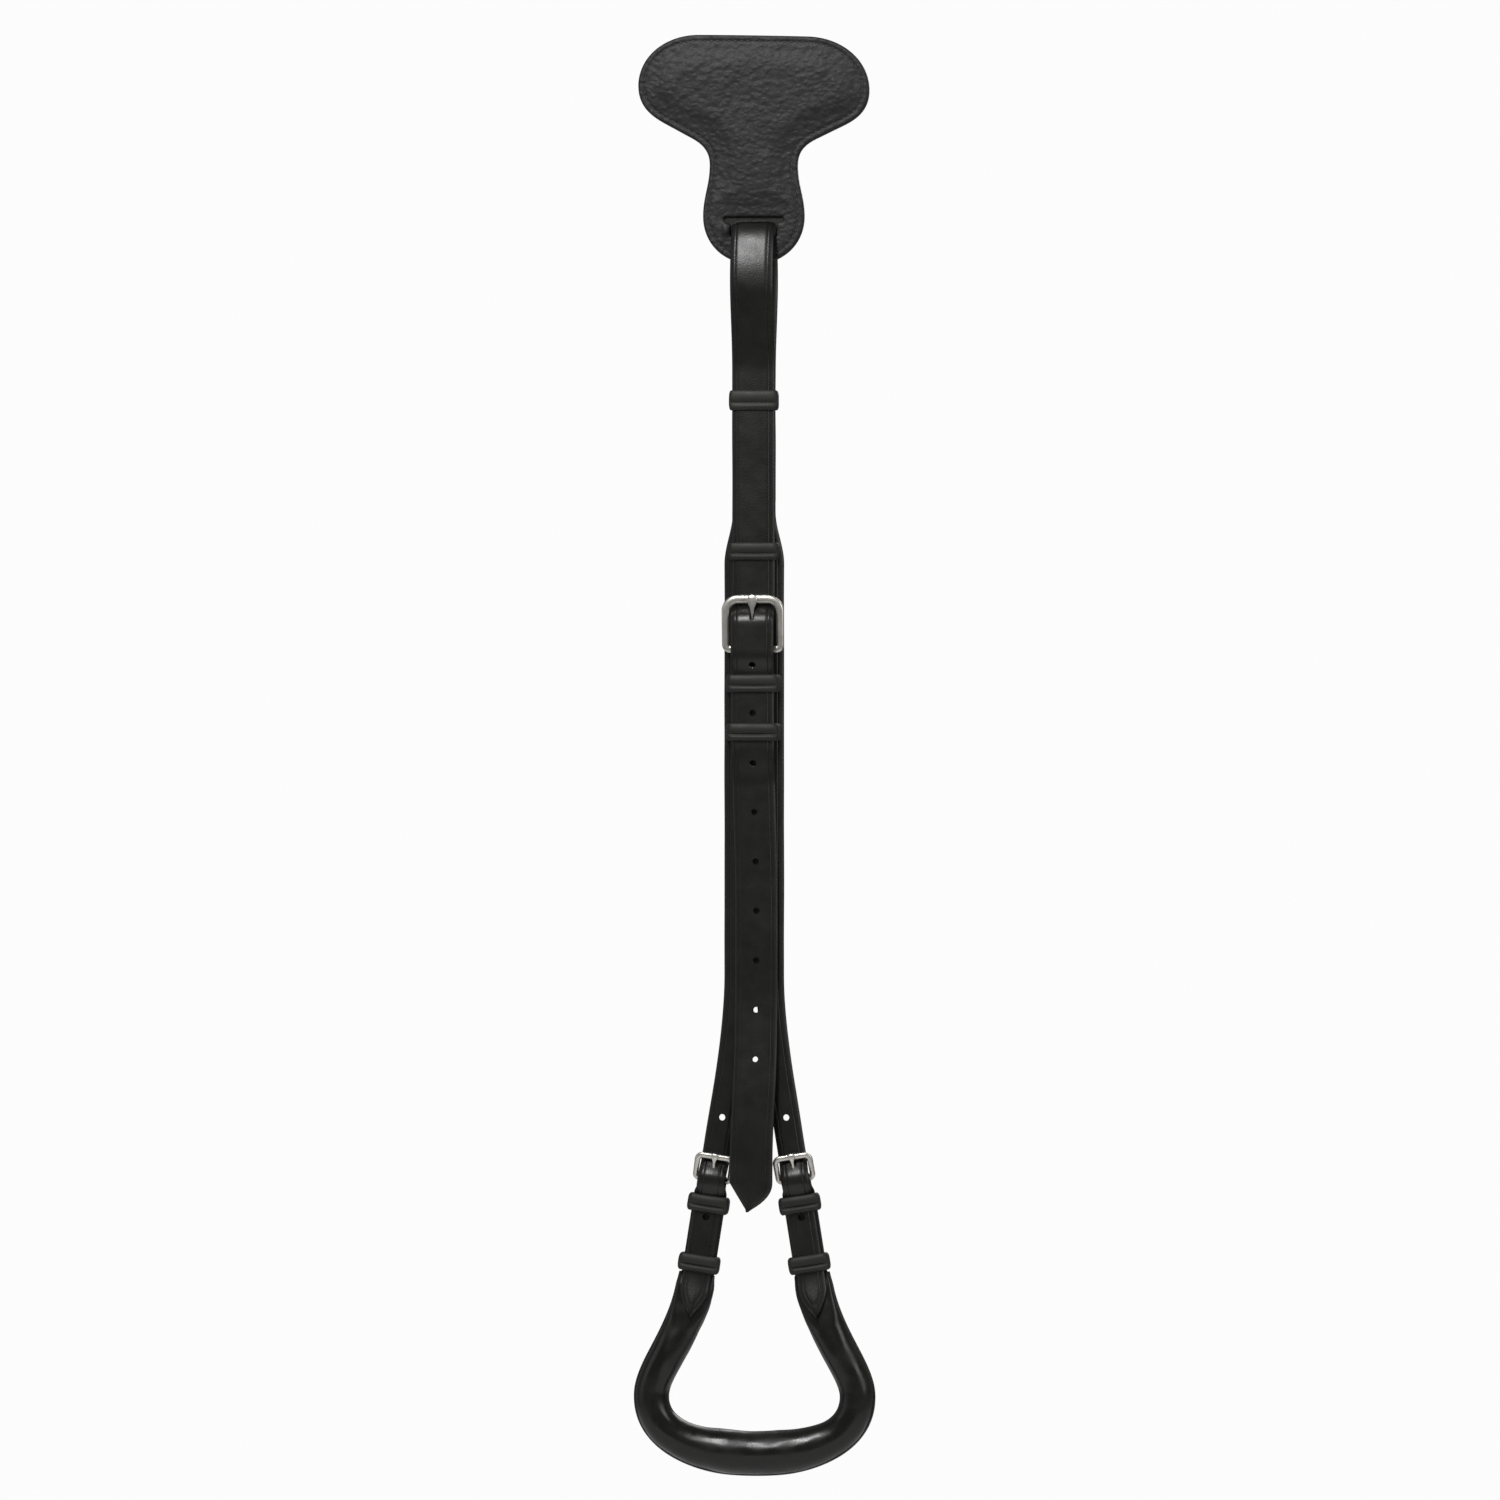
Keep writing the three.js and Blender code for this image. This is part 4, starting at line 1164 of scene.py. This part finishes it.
def dock_frames(path):
    """(middle, outwards, sizes) along the dock. Outwards is away from the middle of the loop."""
    found = []
    for i, at in enumerate(path):
        along = direction(path, i)
        found.append((at, Vector((along.z, 0, -along.x)).normalized(), dock_size(at)))
    return found


def dock_ring(at, out, sizes, less):
    """The dock's section, smaller by less all round."""
    width, depth, square = sizes
    return oval(at, out * (width - less), BACK * (depth - less), 44, power=2 / square)


def dock_cover():
    """The rolled leather tube, open at its two mouths, with the dents of its stuffing."""
    wall = 1.8
    frames = dock_frames(dock_path())
    outside = [dock_ring(*f, less=0.15) for f in frames]
    inner = [dock_ring(*f, less=wall) for f in frames]
    lip = 6  # rings that the lining reaches in from a mouth
    rims = []
    for end, before in ((0, 1), (-1, -2)):
        shift = (frames[end][0] - frames[before][0]) * 0.3
        rims.append([p + shift for p in dock_ring(*frames[end], less=0.6)])
    rings = [*inner[lip::-1], rims[0], *outside, rims[1], *inner[:-lip:-1]]
    obj = made("dock_cover_leather", skin(rings), ROLLED)
    roughened(obj, 17.0, 0.5, 3)
    return roughened(obj, 6.0, 0.14, 5)


def dock_welt():
    """The sewn welt that runs round the outside of the dock."""
    frames = dock_frames(dock_path(1.2))
    rings = [oval(at + out * (sizes[0] - 0.35), out, BACK * 1.15, 12) for at, out, sizes in frames]
    return made("dock_welt", skin(rings), ROLLED)


def dock_stitches():
    """Thread over the welt, and two rows that close the mouths on the straps."""
    frames = dock_frames(dock_path(1.2))
    seams = []
    for sign in (-1, 1):
        arm = [f for f in frames if f[0].x * sign > 0 and f[0].z > -616]
        line = [at + out * (sizes[0] - 0.1) for at, out, sizes in arm]
        places = every(line, 3.2, ACROSS * sign)
        seams.append([(at, Vector((0, 1, 0.25)).normalized(), out) for at, along, out in places])
        for y, out in ((DOCK_Y - 4.0, FRONT), (DOCK_Y + 4.0, BACK)):
            row = [side_place(sign, across, y, MOUTH - 5.4) for across in (-7.4, 7.4)]
            seams.append(every(row, 2.7, out))
    return stitches("dock_stitches", seams, 2.3, 0.5)


def chape_stitches():
    """Rows that hold the buckle's chape and the keepers' ends, seen on the strap's back."""
    middle = BACK * (REAR_Y + HALF + 0.02)
    half = ACROSS * 7.6
    top = middle + UP * (MAIN_BAR.z - 14)
    bottom = middle + UP * (extent("buckle_chape")[0].z + 3)
    rows = [(top - half, bottom - half), (top + half, bottom + half), (bottom - half, bottom + half)]
    return stitches("chape_stitches", [every(row, 3.2, BACK) for row in rows], 2.5, 0.42)


# ---------------------------------------------------------------- assembly
def rides(obj, body, slot, *nodes):
    """obj moves with a body, and stands for CAD nodes."""
    if nodes:
        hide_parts(*nodes)
    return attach(obj, body)


def bends(obj, first, second, at, above, below, slot, *nodes):
    """Hides the CAD nodes that obj stands for and bakes its placement into its mesh. The bodies first and
    second, the hinge at, above, below and slot are not used.
    """
    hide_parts(*nodes)
    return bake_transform(obj)


cover = rides(pad_cover(), "t_pad", "grain_leather", "t_pad_cover")
rides(pad_lining(), "t_pad", "black_leather", "t_pad_lining")
rides(pad_stitches(), "t_pad", "black_leather")

bends(roughened(strap_top(), 24, 0.16, 1), "loop", "strap", BEND, 6, 12, "black_leather", "strap_loop")
bends(
    roughened(billet(), 26, 0.16, 2), "strap", "billet_end", FLAP, 8, 8, "black_leather",
    "billet_upper", "billet_end",
)
bends(
    roughened(fork(), 28, 0.16, 4), "strap", "dock", DOCK_HINGE, 11, 11, "black_leather",
    "fork_strap", "tail_end_left", "tail_end_right",
)
rides(chape(), "strap", "black_leather", "buckle_chape")
rides(chape_stitches(), "strap", "black_leather")
for obj, node, body in keepers():
    rides(obj, body, "black_leather", node)

ring, arm = main_buckle()
rides(ring, "main_buckle", "nickel", "main_buckle_frame")
rides(arm, "main_prong", "nickel", "main_buckle_prong")
for side, sign in (("left", -1), ("right", 1)):
    rides(dock_strap(side, sign), "dock", "black_leather", f"dock_strap_{side}")
    ring, arm = side_buckle(side, sign)
    rides(ring, f"{side}_buckle", "nickel", f"side_buckle_frame_{side}")
    rides(arm, f"{side}_prong", "nickel", f"side_buckle_prong_{side}")

dock = rides(dock_cover(), "dock", "rolled_leather", "dock_cover")
rides(dock_welt(), "dock", "rolled_leather")
rides(dock_stitches(), "dock", "black_leather")

for node, finish in (("t_plate", mill_steel()), ("dock_filling", flax())):
    for material_slot in frame["nodes"][node].material_slots:
        material_slot.material = finish


# ---------------------------------------------------------------- floor, light and camera
def floor():
    """A pale round floor under the hanging object: metres."""
    drop = 0.10
    radius = 0.62
    low = cad_box[0][2] - drop
    body = bmesh.new()
    bmesh.ops.create_circle(body, cap_ends=True, segments=96, radius=radius / MM)
    obj = made("floor", body, None)
    obj.location = (0, 0, low)
    finish = Finish("floor_paper")
    tone = finish.blotches(3.0, (0.84, 0.84, 0.84), (0.88, 0.88, 0.88))
    obj.data.materials[0] = finish.set(Base_Color=tone, Roughness=0.8)


def backdrop():
    """A white world for the camera, and a dim even one for the light that it sends."""
    world = bpy.data.worlds.new("studio")
    world.use_nodes = True
    bpy.context.scene.world = world
    tree = world.node_tree
    lit = tree.nodes["Background"]
    lit.inputs["Color"].default_value = (0.96, 0.98, 1.0, 1.0)
    lit.inputs["Strength"].default_value = 0.17
    seen = tree.nodes.new("ShaderNodeBackground")
    seen.inputs["Color"].default_value = (0.975, 0.975, 0.975, 1.0)
    path = tree.nodes.new("ShaderNodeLightPath")
    choose = tree.nodes.new("ShaderNodeMixShader")
    tree.links.new(path.outputs["Is Camera Ray"], choose.inputs["Fac"])
    tree.links.new(lit.outputs["Background"], choose.inputs[1])
    tree.links.new(seen.outputs["Background"], choose.inputs[2])
    tree.links.new(choose.outputs["Shader"], tree.nodes["World Output"].inputs["Surface"])


def aimed(name, data, place, target):
    """Puts a light or a camera in the scene, pointed at a target."""
    obj = bpy.data.objects.new(name, data)
    bpy.context.scene.collection.objects.link(obj)
    obj.location = place
    obj.rotation_euler = (target - place).to_track_quat("-Z", "Y").to_euler()
    return obj


def softbox(name, place, target_z, width, height, power):
    """A rectangular lamp: metres and watts. It is aimed at the part's middle line."""
    data = bpy.data.lights.new(name, "AREA")
    data.shape = "RECTANGLE"
    data.size = width
    data.size_y = height
    data.energy = power
    aimed(name, data, Vector(place), UP * target_z)


def camera():
    """The photograph's view: level, a little to the right of straight on, through a long lens."""
    view_width = 0.759
    distance = 6.0
    turn = math.radians(6.0)
    data = bpy.data.cameras.new("camera")
    data.lens = data.sensor_width * distance / view_width
    data.clip_end = 50
    target = Vector((-0.002, MID_Y * MM, -0.334))
    place = target + Vector((math.sin(turn), -math.cos(turn), 0)) * distance
    bpy.context.scene.camera = aimed("camera", data, place, target)


floor()
backdrop()
softbox("right", (1.72, -1.0, 0.35), -0.35, 0.9, 1.5, 12)
softbox("top", (-0.26, -1.15, 0.74), -0.3, 0.15, 0.8, 21)
softbox("left", (-1.95, -0.55, -0.1), -0.35, 1.0, 1.5, 3)
softbox("behind", (0.4, 1.6, 0.6), -0.35, 1.2, 1.2, 10)
camera()
bpy.context.scene.view_settings.view_transform = "Standard"
